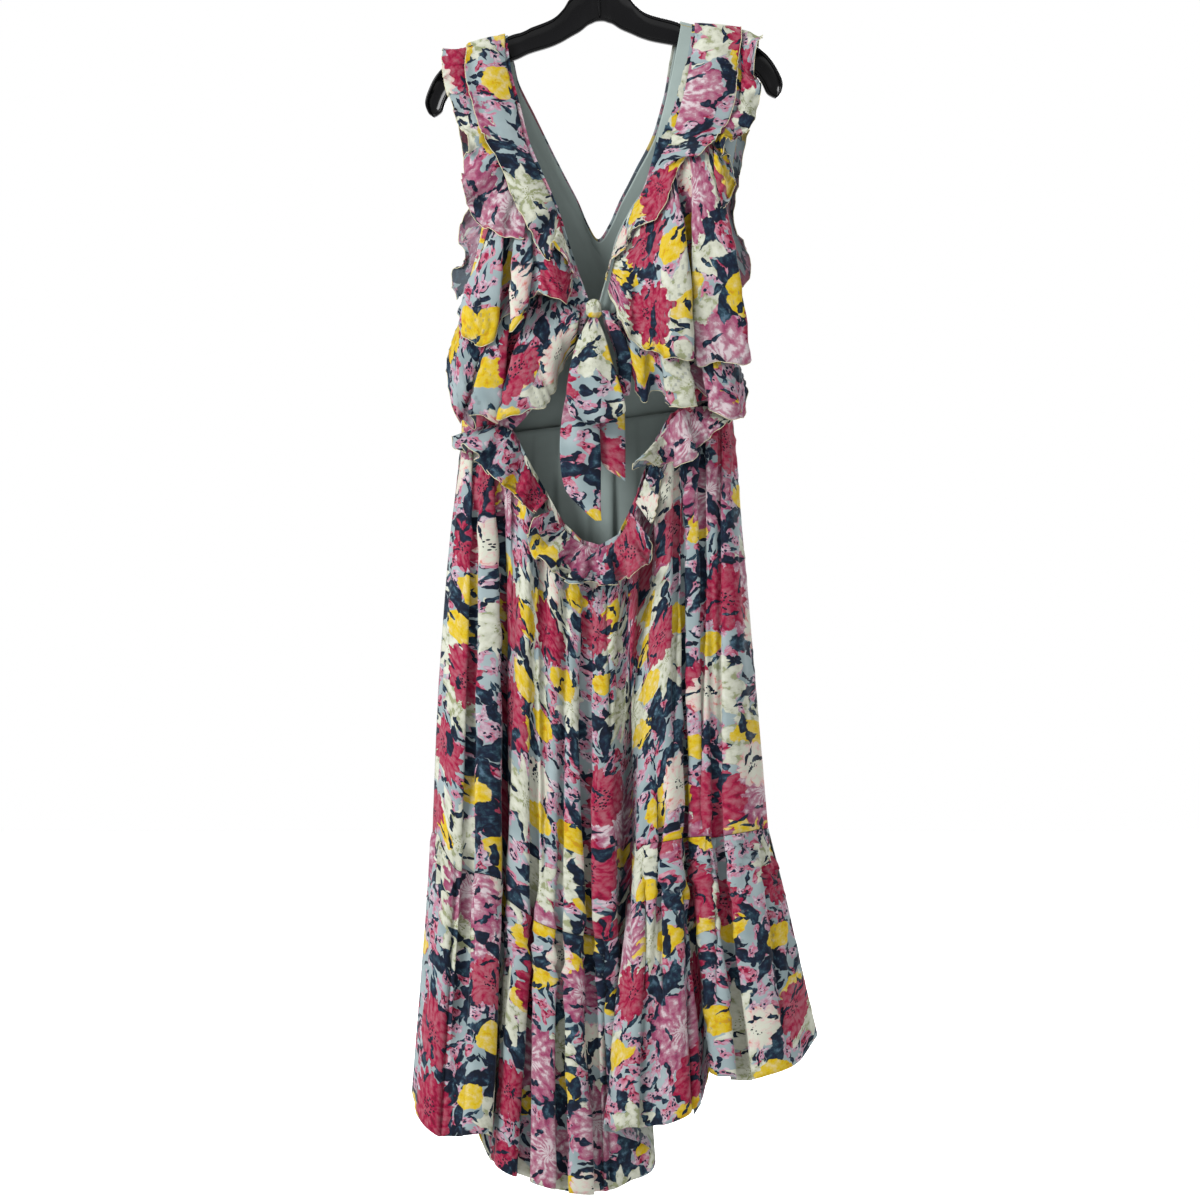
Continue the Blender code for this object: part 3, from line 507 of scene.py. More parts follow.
def rib_part(facing):
    """Upright rib down the middle of the web, on the viewer's side (1) or the far side (-1)."""
    rings = RIB["rings"]
    path = place(*tilt(0, np.linspace(*RIB["drops"], rings)), facing * RIB["out"])
    taper = np.sqrt(np.clip(from_ends(rings) / 2 + 0.1, 0, 1))
    return tube(path, np.tile((1.0, 0.0, 0.0), (rings, 1)), RIB["radius"] * taper, 0, sides=10)


def hook_part():
    """A round wire: a straight stem, then an arc about the rail's place, its end rounded."""
    wire = HOOK["wire"] / 2
    bend = HOOK["bend"] + wire
    stem = [tilt(0, drop) for drop in HOOK["stem"]]
    turn = np.radians(np.linspace(*HOOK["sweep"], 13))
    arc = np.stack([bend * np.cos(turn), HOOK["bend"] - bend * np.sin(turn)], axis=1)
    route = spline(np.concatenate([stem, arc]), 8)
    path = place(route[:, 0], route[:, 1], 0)
    left = np.arange(len(path))[::-1]
    radius = wire * np.sqrt(np.clip(left / 4 + 0.06, 0, 1))
    return tube(path, np.tile((0.0, 1.0, 0.0), (len(path), 1)), radius, 0, sides=16)


# ---------------------------------------------------------------- skirt and tier

SIDE_X = (-157 * MM, 163 * MM)
SIDE_OUT = 0.75 * MM       # of the side edges of back and front in the tables
SIDE_GAP = 0.05 * MM       # what is left of it once the side seams are drawn together
SIDE_PULL = 8 * MM         # how far out the drawing together is felt
ARMHOLE_END = 440 * MM     # drop; the seams are drawn together within ARMHOLE_FADE below it
ARMHOLE_FADE = 20 * MM
BACK_FOLDS = table("waist_x waist_out seam_x seam_drop seam_out hem_x hem_drop hem_out", [
    (-157, 0.75, -191, 1085, 0.75, -215, 1392, 0.75), (-150, 17, -182, 1088, 30, -208, 1417, 34),
    (-137, 25, -165, 1124, 50, -187, 1437, 58), (-124, 28, -146, 1130, 44, -165, 1440, 52),
    (-112, 30, -127, 1133, 58, -143, 1437, 70), (-104, 31, -114, 1135, 50, -126, 1434, 58),
    (-98, 32, -109, 1147, 22, -131, 1453, 24), (-91, 33, -101, 1165, 36, -118, 1471, 42),
    (-83, 34, -88, 1172, 52, -104, 1482, 56), (-75, 35, -77, 1180, 42, -89, 1487, 42),
    (-67, 36, -70, 1186, 30, -77, 1491, 30), (-57, 37, -58, 1192, 56, -62, 1497, 62),
    (-43, 38, -40, 1198, 46, -38, 1504, 50), (-28, 38.5, -21, 1203, 58, -14, 1507, 62),
    (-14, 38.5, -7, 1205, 34, 1, 1507, 36), (0, 38, 11, 1208, 52, 19, 1505, 42),
    (15, 37.5, 26, 1209, 40, 42, 1495, 28), (32, 37, 54, 1172, 22, 72, 1468, 18),
    (45, 37, 46, 1107, 42, 12, 1428, 66), (58, 36.5, 60, 1099, 60, 40, 1429, 82),
    (73, 36, 78, 1095, 50, 66, 1426, 70), (88, 35.5, 92, 1092, 60, 95, 1420, 78),
    (99, 35, 103, 1090, 46, 122, 1404, 58), (106, 34.5, 105, 1091, 22, 124, 1408, 24),
    (114, 34, 113, 1090, 38, 136, 1365, 40), (123, 32, 129, 1088, 54, 154, 1370, 58),
    (133, 29, 143, 1090, 36, 175, 1376, 42), (143, 25, 163, 1086, 48, 202, 1369, 54),
    (154, 16, 187, 1082, 30, 238, 1357, 34), (163, 0.75, 206, 1081, 0.75, 265, 1326, 0.75)])
BACK_WAIST = table("x drop", [
    (-159, 622), (-123, 618), (-94, 612), (-76, 648), (-54, 687), (-36, 719), (-14, 740),
    (7, 746), (28, 734), (45, 699), (60, 657), (72, 622), (90, 592), (114, 578),
    (140, 577), (165, 580)])
CUTOUT_X = (-96 * MM, 108 * MM)            # its two ends on the waist line
BACK_CREASES = table(CREASE, [          # troughs, and ridges with a negative depth
    (-112, 640, -108, 1210, 8, 25), (-92, 560, -97, 1130, 4, 8), (-61, 600, -57, 1200, 5, 12),
    (-8, 700, -8, 1240, 4, 9), (40, 640, 30, 1010, 4.5, 8), (70, 590, 33, 1270, 9, 27),
    (-32, 690, -38, 1190, 4, 7), (127, 520, 126, 1130, 4.5, 12), (97, 560, 92, 1010, 4, 8),
    (146, 540, 152, 1040, 4.5, 9), (-138, 580, -148, 1090, 5, 10), (14, 720, 17, 990, 3.5, 6),
    (-77, 610, -78, 1180, 8, -6), (20, 720, 12, 1200, 9, -6), (83, 560, 76, 1100, 9, -7),
    (112, 540, 112, 1000, 7, -5), (-46, 640, -47, 1180, 7, -5), (50, 690, 52, 1120, 6, -5),
    (97, 1050, 114, 1440, 5, 13), (60, 1060, 52, 1460, 5, 10), (150, 1050, 172, 1400, 5, 11),
    (-162, 1100, -184, 1470, 5, 10), (12, 1180, 20, 1540, 5, 11), (-42, 1160, -34, 1540, 5, 10),
    (-70, 1150, -82, 1390, 4, 8), (130, 1060, 146, 1300, 4, 8), (-145, 1090, -158, 1330, 4, 8),
    (190, 1060, 224, 1350, 5, 9), (78, 1060, 84, 1290, 4, 7), (-20, 1180, -12, 1400, 4, 8)])
# The front's lines: drop at its sides, rise in the middle, depth of its arc and of its folds.
FRONT_FOLD_COUNT = 13
FRONT_WAIST = dict(drop=(622 * MM, 581 * MM), out=25 * MM, wave=4.5 * MM)
FRONT_SEAM = dict(x=(-191 * MM, 206 * MM), drop=(1085 * MM, 1081 * MM), rise=34 * MM,
                  out=48 * MM, wave=9 * MM)
FRONT_HEM = dict(x=(-215 * MM, 265 * MM), drop=(1392 * MM, 1326 * MM), rise=84 * MM,
                 out=58 * MM, wave=13 * MM)
SIDE_BELLY = 6 * MM        # how far the left side bows out between waist and tier
PANEL_STEPS = 8            # pieces between two folds
SKIRT_ROWS = 72
TIER_ROWS = 52
SKIRT_FLUTE = (24, 0.9)    # places in the running mean, and strength
SKIRT_PANELS = (           # name, depth and pitch of the gathers, fade length, place in the print
    ("back_skirt", 1.0, 1.0, 120 * MM, (0.1, 0.9)), ("back_tier", 1.9, 1.3, 85 * MM, (0.75, 0.3)),
    ("front_skirt", 0.5, 1.0, 120 * MM, (1.9, 0.8)), ("front_tier", 1.9, 1.3, 85 * MM, (2.6, 0.25)))


def back_waist(x):
    """Drop of the back's waist line and cut-out edge at x, straight between the rows."""
    return np.interp(x, BACK_WAIST["x"], BACK_WAIST["drop"])


def front_waist(x):
    """Drop of the front's waist line at x, straight from side to side."""
    return np.interp(x, SIDE_X, FRONT_WAIST["drop"])


def close_sides(grid):
    """Draw the side seams together: their edges stand SIDE_OUT from the middle plane.

    Below the armholes each point moves towards the plane by the seam's play, less the
    farther out it stands, and stops SIDE_GAP from it.
    """
    out = np.abs(grid[..., 1])
    below = np.clip((-grid[..., 2] - ARMHOLE_END) / ARMHOLE_FADE, 0, 1)
    play = (SIDE_OUT - SIDE_GAP) * below * np.clip(1 - (out - SIDE_OUT) / SIDE_PULL, 0, 1)
    drawn = np.where(play > 0, np.maximum(out - play, SIDE_GAP), out)
    closed = grid.copy()
    closed[..., 1] = np.sign(grid[..., 1]) * drawn
    return closed


def front_levels():
    """Waist, seam and hem points of the front panel's folds.

    Crests and troughs alternate along a flat arc; their spacing and depth swing slowly so
    that no two folds are alike, and the hem rises towards the middle.
    """
    i = np.arange(2 * FRONT_FOLD_COUNT + 1)
    t = i / i[-1]
    ends = np.sin(math.pi * t)
    t = t + 0.019 * np.sin(2.4 * i) * (ends > 0.01)
    arc = np.maximum(np.sin(math.pi * t), 0) ** 0.7
    swing = np.where(i % 2, 1.0, -1.0) * (1 + 0.55 * np.sin(1.9 * i)) * np.minimum(4 * ends, 1)
    x = between(SIDE_X, t)
    waist = place(x, front_waist(x) + SEAM_GAP,
                  -SIDE_OUT - FRONT_WAIST["out"] * arc - FRONT_WAIST["wave"] * swing)
    lower = []
    for level in (FRONT_SEAM, FRONT_HEM):
        x = between(level["x"], t)
        drop = np.interp(t, (0, 1), level["drop"]) - level["rise"] * ends
        drop = drop + 4 * MM * np.sin(2.1 * i) * ends
        lower.append(place(x, drop, -SIDE_OUT - level["out"] * arc - level["wave"] * swing))
    return waist, lower[0], lower[1]


def hanging_panel(top, low, rows, belly=0.0):
    """Straight fall from top to low edge, bowed out at the left side by the belly."""
    v = np.linspace(0, 1, rows + 1)[:, None, None]
    grid = top * (1 - v) + low * v
    share = np.linspace(1, 0, len(top))[None, :] ** 2
    grid[:, :, 0] -= belly * share * np.sin(math.pi * v[:, :, 0])
    return grid


def tier_top(seam):
    """The tier's upper edge: the seam line lowered by the seam's gap, more where it is steep."""
    along = np.gradient(seam, axis=0)
    level = np.linalg.norm(along[:, :2], axis=1) / np.linalg.norm(along, axis=1)
    top = seam.copy()
    top[:, 2] -= 2 * SEAM_GAP / np.maximum(level, 0.35)
    return top


def back_panels():
    """Skirt and tier of the back, from the rows of folds."""
    folds = BACK_FOLDS
    waist = spline(place(folds["waist_x"], 0, folds["waist_out"]), PANEL_STEPS)
    waist[:, 2] = -back_waist(waist[:, 0]) - SEAM_GAP
    seam = spline(place(folds["seam_x"], folds["seam_drop"], folds["seam_out"]), PANEL_STEPS)
    hem = spline(place(folds["hem_x"], folds["hem_drop"], folds["hem_out"]), PANEL_STEPS)
    return (hanging_panel(waist, seam, SKIRT_ROWS, SIDE_BELLY),
            hanging_panel(tier_top(seam), hem, TIER_ROWS))


def front_panels():
    """Skirt and tier of the front; columns run right as seen from the front."""
    waist, seam, hem = (spline(level, PANEL_STEPS)[::-1] for level in front_levels())
    skirt = hanging_panel(waist[::-1], seam[::-1], SKIRT_ROWS, SIDE_BELLY)[:, ::-1]
    return skirt, hanging_panel(tier_top(seam), hem, TIER_ROWS)


# ---------------------------------------------------------------- bodice

ARM_TOP = table("x drop", [(12, 62), (14, 72), (22, 88), (35, 99), (43, 110), (57, 121),
                           (87, 131), (112, 139), (150, 149), (176, 161), (196, 178),
                           (209, 200)])
OVER_ARM = 9 * MM          # reach of the cloth each way over the arm, and down beside it
ARM_CLEAR = 1.5 * MM       # between the arm and the cloth's middle over it
RIGHT_LIFT = 7 * MM        # of the right shoulder's outer end, which stands off the arm
EDGE = "x drop out"
LEFT_ARM_EDGE = table(EDGE, [
    (-147, 160, 9), (-144, 189, 11), (-137, 231, 12), (-130, 278, 13), (-128, 326, 12),
    (-135, 385, 8), (-152, 456, 0.75), (-156, 551, 0.75), (-157, 621, 0.75)])
LEFT_NECK_EDGE = table(EDGE, [
    (-102, 152, 9), (-97, 189, 12), (-86, 231, 15), (-76, 270, 18), (-60, 308, 21),
    (-43, 347, 25), (-31, 385, 29), (-19, 423, 36), (-4, 464, 46)])
LEFT_LOW_EDGE = table(EDGE, [
    (-157, 621, 0.75), (-123, 618, 25), (-96, 611, 29), (-73, 587, 32), (-54, 565, 33),
    (-31, 527, 35), (-13, 492, 41), (-4, 464, 46)])
RIGHT_NECK_EDGE = table(EDGE, [
    (102, 140, 9), (93, 184, 12), (87, 212, 14), (76.5, 256, 17), (69, 290, 20),
    (58, 326, 24), (43, 350, 27), (26, 385, 31), (16, 425, 37), (5, 464, 46)])
RIGHT_ARM_EDGE = table(EDGE, [
    (174, 143, 9), (179, 172, 11), (178, 205, 12), (172, 245, 13), (163, 300, 13),
    (156, 350, 11), (154, 395, 7), (159, 456, 0.75), (162, 515, 0.75), (163, 579, 0.75)])
RIGHT_LOW_EDGE = table(EDGE, [
    (5, 464, 46), (17, 497, 41), (43, 534, 35), (66, 556, 33), (90, 570, 32),
    (112, 577, 31), (138, 576, 24), (163, 579, 0.75)])
FACING_EDGE = table("x drop", [          # outer edge of the strip of lining at the right neck
    (116, 134), (113.4, 159), (103.9, 194), (95.4, 226), (83, 256), (70, 276), (60, 290)])
HALF_SWELL = 7 * MM        # how far a back half bows out at the middle of its low edge
# The cloth over the arm from the far side to the near one: out and drop in shares of OVER_ARM.
OVER_SECTION = ((-1.0, 1.0), (-0.97, 0.5), (-0.8, 0.08), (0.0, 0.0), (0.8, 0.08), (0.97, 0.5))
FRONT_TOP = table(EDGE, [
    (-147, 165, -9), (-124, 158, -9), (-101, 153, -9), (-90, 195, -12), (-71, 234, -14),
    (-46, 285, -17), (-19, 337, -20), (5, 382, -22), (30, 337, -20), (51, 296, -17),
    (70, 258, -14), (84.5, 205, -12), (99, 142, -9), (142, 147, -9), (174, 145, -9)])
FRONT_LOW = table("x out", [
    (-157, -0.75), (-136, -14), (-115, -19), (-97, -22), (-77, -23), (-50, -24), (-22, -26),
    (5, -26), (33, -26), (60, -25), (85, -24), (107, -22), (124, -19), (144, -14),
    (163, -0.75)])
FRONT_LEFT_EDGE = table(EDGE, [
    (-147, 165, -9), (-137, 231, -12), (-129, 310, -13), (-135, 385, -8), (-152, 456, -0.75),
    (-156, 551, -0.75), (-157, 622, -0.75)])
FRONT_RIGHT_EDGE = table(EDGE, [
    (174, 145, -9), (178, 205, -12), (168, 275, -13), (155, 375, -9), (159, 456, -0.75),
    (162, 515, -0.75), (163, 581, -0.75)])
# Depth, fade length and seed of the gathers of the left half, the right half and the front.
BODICE_GATHERS = ((0.6, 60 * MM, 1.1), (0.6, 60 * MM, 2.3), (0.7, 70 * MM, 3.1))
BAND_CELLS = 9             # cells of the front between two rows of its tables
LINING_DOWN = 0.14         # share of the first such band that the lining starts lower
LINING_UP = 0.1            # share of its last cell that the lining ends higher
# The skirt's lining: sides of its top, how far it widens and falls, its arc and its folds.
LINING = dict(x=(-118 * MM, 124 * MM), spread=1.06, length=150 * MM, inset=3 * MM, out=13 * MM,
              wave=2.6 * MM, folds=9, lap=2 * MM)


def curve_points(rows, steps=1):
    """World points of a table with x, drop and out columns, smoothed."""
    return spline(place(rows["x"], rows["drop"], rows["out"]), steps)


def coons(top, low, left, right):
    """Surface between four edge curves, rows going down and columns left to right."""
    u = np.linspace(0, 1, len(top))[None, :, None]
    v = np.linspace(0, 1, len(left))[:, None, None]
    ruled = (1 - v) * top[None] + v * low[None]
    across = (1 - u) * left[:, None] + u * right[:, None]
    corners = ((1 - v) * ((1 - u) * top[0] + u * top[-1])
               + v * ((1 - u) * low[0] + u * low[-1]))
    return ruled + across - corners


def shoulder(x, side):
    """Drop of the cloth's crest over the hanger's arm at x, on side -1 or +1."""
    top_x, top_drop = tilt(side * ARM_TOP["x"], ARM_TOP["drop"])
    order = np.argsort(top_x)
    crest = np.interp(x, top_x[order], top_drop[order])
    inner, outer = RIGHT_NECK_EDGE["x"][0], RIGHT_ARM_EDGE["x"][0]
    share = np.clip((x - inner) / (outer - inner), 0, 1)
    lift = RIGHT_LIFT * share ** 2 if side > 0 else 0
    return crest - ARM_CLEAR - lift


def back_half(left, right, low, side):
    """One half of the back bodice, carried over the hanger's arm to the shoulder seam."""
    low_points = curve_points(low, 2)
    sewn = (low_points[:, 0] < CUTOUT_X[0]) | (low_points[:, 0] > CUTOUT_X[1])
    waist_z = -back_waist(low_points[:, 0]) + 2 * SEAM_GAP
    low_points[sewn, 2] = waist_z[sewn]
    left_points = curve_points(left)
    right_points = curve_points(right)
    left_points[-1] = low_points[0]
    right_points[-1] = low_points[-1]
    across = np.linspace(0, 1, len(low_points))
    x = between((left_points[0, 0], right_points[0, 0]), across)
    crest = shoulder(x, side)
    top = place(x, crest + OVER_ARM, OVER_ARM)
    left_points[0] = top[0]
    right_points[0] = top[-1]
    panel = coons(top, low_points, left_points, right_points)
    v = np.linspace(0, 1, len(panel))[:, None]
    panel[:, :, 1] -= HALF_SWELL * v * np.sin(math.pi * across)[None, :]
    wrap = [place(x, crest + OVER_ARM * down, OVER_ARM * out) for out, down in OVER_SECTION]
    return refine(np.concatenate([np.array(wrap), panel]), 5, 5)


def back_halves():
    """The left and the right half of the open back."""
    return (back_half(LEFT_ARM_EDGE, LEFT_NECK_EDGE, LEFT_LOW_EDGE, -1),
            back_half(RIGHT_NECK_EDGE, RIGHT_ARM_EDGE, RIGHT_LOW_EDGE, 1))


def front_grids():
    """Front bodice and, a wall and a gap inside it, its lining."""
    top = curve_points(FRONT_TOP, 2)
    for band, side in ((slice(0, 5), -1), (slice(-5, None), 1)):
        top[band, 2] = -shoulder(top[band, 0], side) - OVER_ARM - 2 * SEAM_GAP
    low_x = spline(FRONT_LOW["x"][:, None], 2)[:, 0]
    low_out = spline(FRONT_LOW["out"][:, None], 2)[:, 0]
    low = place(low_x, front_waist(low_x) - SEAM_GAP, low_out)
    left = curve_points(FRONT_LEFT_EDGE)
    right = curve_points(FRONT_RIGHT_EDGE)
    left[0], left[-1] = top[0], low[0]
    right[0], right[-1] = top[-1], low[-1]
    front = refine(coons(top, low, left, right), BAND_CELLS, 5)
    inner = front[:, 5:-5].copy()
    inner[0] += (inner[BAND_CELLS] - inner[0]) * LINING_DOWN
    steps = np.arange(1, BAND_CELLS)[:, None, None]
    inner[1:BAND_CELLS] = inner[0] + (inner[BAND_CELLS] - inner[0]) * steps / BAND_CELLS
    inner[-1] -= (inner[-1] - inner[-2]) * LINING_UP
    inner += facing_of(inner) * (CAD_WALL + 2 * SEAM_GAP)
    return front[:, ::-1], inner


def lining_grid():
    """Lining of the front skirt: soft upright folds, seen through the cut-out."""
    i = np.arange(2 * LINING["folds"] + 1)
    t = i / i[-1] + 0.012 * np.sin(2.7 * i) * (i > 0) * (i < i[-1])
    x = between(LINING["x"], t)
    arc = np.maximum(np.sin(math.pi * t), 0) ** 0.6
    swing = np.where(i % 2, 1.0, -1.0) * (1 + 0.5 * np.sin(1.3 * i)) * arc
    out = -LINING["inset"] - LINING["out"] * arc
    top = place(x, front_waist(x) - LINING["lap"], out)
    low = place(x * LINING["spread"], front_waist(x) + LINING["length"],
                out - LINING["wave"] * swing)
    top[:, 1] += 0.3 * LINING["wave"] * swing
    return hanging_panel(spline(top, 5), spline(low, 5), 24)


# ---------------------------------------------------------------- frills

FRILL = "seam_x seam_drop hem_x hem_drop hem_out"
NECK_LEFT = table(FRILL, [
    (-105, 162, -150, 162, 14), (-101, 189, -152, 186, 17), (-90, 231, -142, 232, 21),
    (-81, 270, -130, 264, 25), (-66, 304, -109, 301, 28), (-56, 326, -96, 337, 36),
    (-47, 345, -76, 375, 48), (-41, 361, -58, 410, 42), (-37, 377, -49, 392, 54),
    (-31, 397, -33, 411, 44), (-24, 418, -19, 435, 52)])
NECK_RIGHT = table(FRILL, [
    (119, 150, 174, 150, 15), (114, 172, 170, 174, 18), (108, 205, 168, 207, 22),
    (99, 240, 161, 240, 25), (89, 270, 144, 266, 30), (80, 286, 126, 285, 42),
    (71, 302, 105, 295, 34), (63, 318, 88, 333, 30), (55, 333, 73, 363, 42),
    (45, 350, 47, 375, 34), (34, 371, 37, 399, 48), (25, 395, 21, 411, 40),
    (19, 418, 14, 436, 50)])
ARM_LEFT = table(FRILL, [
    (-144, 166, -179, 160, 12), (-142, 181, -179, 186, 18), (-139, 202, -175, 207, 12),
    (-133, 221, -168, 223, 22), (-127, 243, -162, 245, 14), (-120, 262, -148, 270, 28),
    (-114, 281, -154, 298, 20), (-108, 300, -154, 326, 32), (-102, 318, -143, 358, 22),
    (-94, 334, -123, 375, 38), (-86, 345, -103, 385, 30), (-78, 353, -82, 386, 38)])
ARM_RIGHT = table(FRILL, [
    (171, 150, 199, 145, 11), (173, 163, 191, 160, 18), (174, 181, 189, 191, 12),
    (174, 200, 197, 205, 20), (172, 217, 193, 229, 14), (168, 233, 186, 251, 24),
    (152, 245, 172, 264, 18), (146, 258, 153, 277, 32), (142, 274, 160, 297, 22),
    (141, 292, 167, 323, 32), (141, 310, 151, 354, 22)])
MID_LEFT = table(FRILL, [
    (-30, 396, -24, 440, 50), (-38, 385, -34, 465, 62), (-46, 374, -52, 455, 70),
    (-56, 364, -64, 449, 66), (-68, 356, -78, 462, 58), (-81, 351, -92, 492, 62),
    (-94, 350, -101, 474, 24), (-106, 352, -119, 506, 46), (-116, 360, -138, 512, 52),
    (-124, 374, -157, 494, 40), (-133, 400, -160, 470, 14)])
MID_RIGHT = table(FRILL, [
    (27, 398, 16, 447, 52), (38, 378, 34, 490, 66), (51, 356, 47, 510, 62),
    (64, 330, 68, 520, 66), (78, 303, 88, 526, 70), (92, 287, 109, 528, 66),
    (103, 276, 112, 500, 20), (114, 270, 126, 536, 50), (126, 267, 150, 531, 60),
    (137, 270, 177, 537, 54), (143, 290, 163, 506, 26), (147, 330, 176, 488, 40),
    (151, 390, 165, 455, 14)])
LOW_LEFT = table(FRILL, [
    (-16, 470, -22, 512, 44), (-27, 464, -40, 545, 50), (-40, 458, -55, 582, 58),
    (-54, 454, -79, 590, 62), (-69, 452, -104, 596, 58), (-83, 452, -104, 570, 26),
    (-97, 454, -117, 606, 46), (-110, 458, -136, 592, 54), (-123, 464, -148, 606, 40),
    (-134, 470, -167, 582, 46), (-145, 476, -173, 530, 20), (-151, 478, -162, 488, 8)])
LOW_RIGHT = table(FRILL, [
    (18, 476, 34, 512, 44), (31, 470, 44, 545, 50), (45, 468, 56, 577, 56),
    (61, 470, 74, 565, 50), (76, 472, 92, 583, 58), (91, 474, 112, 582, 56),
    (106, 476, 121, 560, 28), (119, 478, 138, 586, 48), (132, 480, 157, 598, 54),
    (143, 484, 175, 598, 44), (151, 486, 180, 565, 28), (156, 484, 170, 534, 12)])
FRONT_ARM_LEFT = table(FRILL, [
    (-142, 172, -174, 168, 12), (-139, 201, -172, 205, 20), (-134, 243, -161, 247, 13),
    (-128, 288, -154, 295, 24), (-127, 326, -149, 340, 15), (-132, 363, -161, 375, 28),
    (-138, 392, -153, 405, 17), (-144, 420, -169, 427, 26), (-150, 444, -163, 453, 12)])
FRONT_ARM_RIGHT = table(FRILL, [
    (171, 155, 195, 152, 12), (176, 184, 193, 193, 20), (175, 225, 187, 238, 13),
    (167, 266, 178, 278, 22), (160, 304, 170, 326, 15), (154, 337, 166, 363, 24),
    (152, 368, 187, 411, 34), (153, 397, 174, 442, 20), (157, 432, 166, 458, 12)])
CUT_LEFT = table(FRILL, [
    (-151, 612, -168, 618, 14), (-140, 608, -165, 632, 28), (-127, 606, -152, 637, 36),
    (-112, 606, -144, 634, 52), (-97, 612, -133, 654, 42), (-88, 632, -116, 668, 56),
    (-80, 647, -99, 683, 46), (-71, 664, -88, 694, 56), (-62, 680, -78, 703, 50),
    (-54, 692, -68, 708, 62)])
CUT_CENTRE = table(FRILL, [
    (-48, 705, -62, 712, 58), (-41, 718, -75, 725, 66), (-35, 727, -75, 751, 52),
    (-26, 737, -57, 768, 66), (-16, 744, -38, 783, 54), (-6, 748, -24, 792, 64),
    (5, 751, -4, 790, 54), (15, 747, 17, 794, 64), (25, 741, 31, 787, 54),
    (33, 732, 50, 777, 66), (39, 720, 67, 765, 56), (43, 708, 66, 740, 60)])
CUT_RIGHT = table(FRILL, [
    (49, 697, 68, 722, 52), (55, 683, 74, 699, 60), (61, 666, 77, 680, 48),
    (67, 649, 82, 664, 54), (73, 632, 69, 657, 48), (80, 616, 50, 650, 64),
    (90, 600, 83, 652, 50), (100, 590, 109, 650, 60), (112, 585, 126, 629, 42),
    (128, 583, 144, 612, 46), (143, 583, 156, 603, 34), (157, 584, 167, 596, 12)])
# The frills in the order in which they are laid over what they are sewn to.
LEFT_FRILLS = dict(lower_flounce_left=LOW_LEFT, middle_flounce_left=MID_LEFT,
                   arm_frill_back_left=ARM_LEFT, neck_frill_left=NECK_LEFT)
RIGHT_FRILLS = dict(lower_flounce_right=LOW_RIGHT, middle_flounce_right=MID_RIGHT,
                    arm_frill_back_right=ARM_RIGHT, neck_frill_right=NECK_RIGHT)
CUTOUT_FRILLS = dict(cutout_frill_centre=CUT_CENTRE, cutout_frill_left=CUT_LEFT,
                     cutout_frill_right=CUT_RIGHT)
FRONT_FRILLS = dict(arm_frill_front_left=FRONT_ARM_LEFT, arm_frill_front_right=FRONT_ARM_RIGHT)
FRILL_ROWS = 6
FRILL_CROWN = 0.12         # height of a frill's arc, as a share of its width
FRILL_DEPTH = 1.75         # how much deeper a wave is than the plain table's
FRILL_FLUTE = (40, 1.1)    # places in the running mean, and strength
OVER_TURNS = (0.35, 0.62, 0.85, 1.05, 1.22)        # quarter turns over the hanger's arm


def over_arm(grid, side, facing, turns):
    """Carry a frill's first column on over the arm, on a quarter ellipse about its edge.

    The ellipse has the column's own standing-out as one half axis and its height under the
    cloth's crest as the other; a turn of 1 is the crest.
    """
    first = grid[:, 0]
    out = -facing * first[:, 1]
    crest = -shoulder(first[:, 0], side) + 0.35 * np.maximum(out - OVER_ARM, 0) + 2 * MM
    rise = np.maximum(crest - first[:, 2], 1 * MM)
    angle = np.array(turns)[::-1, None] * math.pi / 2
    x = np.broadcast_to(first[:, 0], (len(turns), len(first)))
    wrap = np.stack([x, -facing * out * np.cos(angle), first[:, 2] + rise * np.sin(angle)],
                    axis=-1)
    return np.concatenate([wrap.swapaxes(0, 1), grid], axis=1)


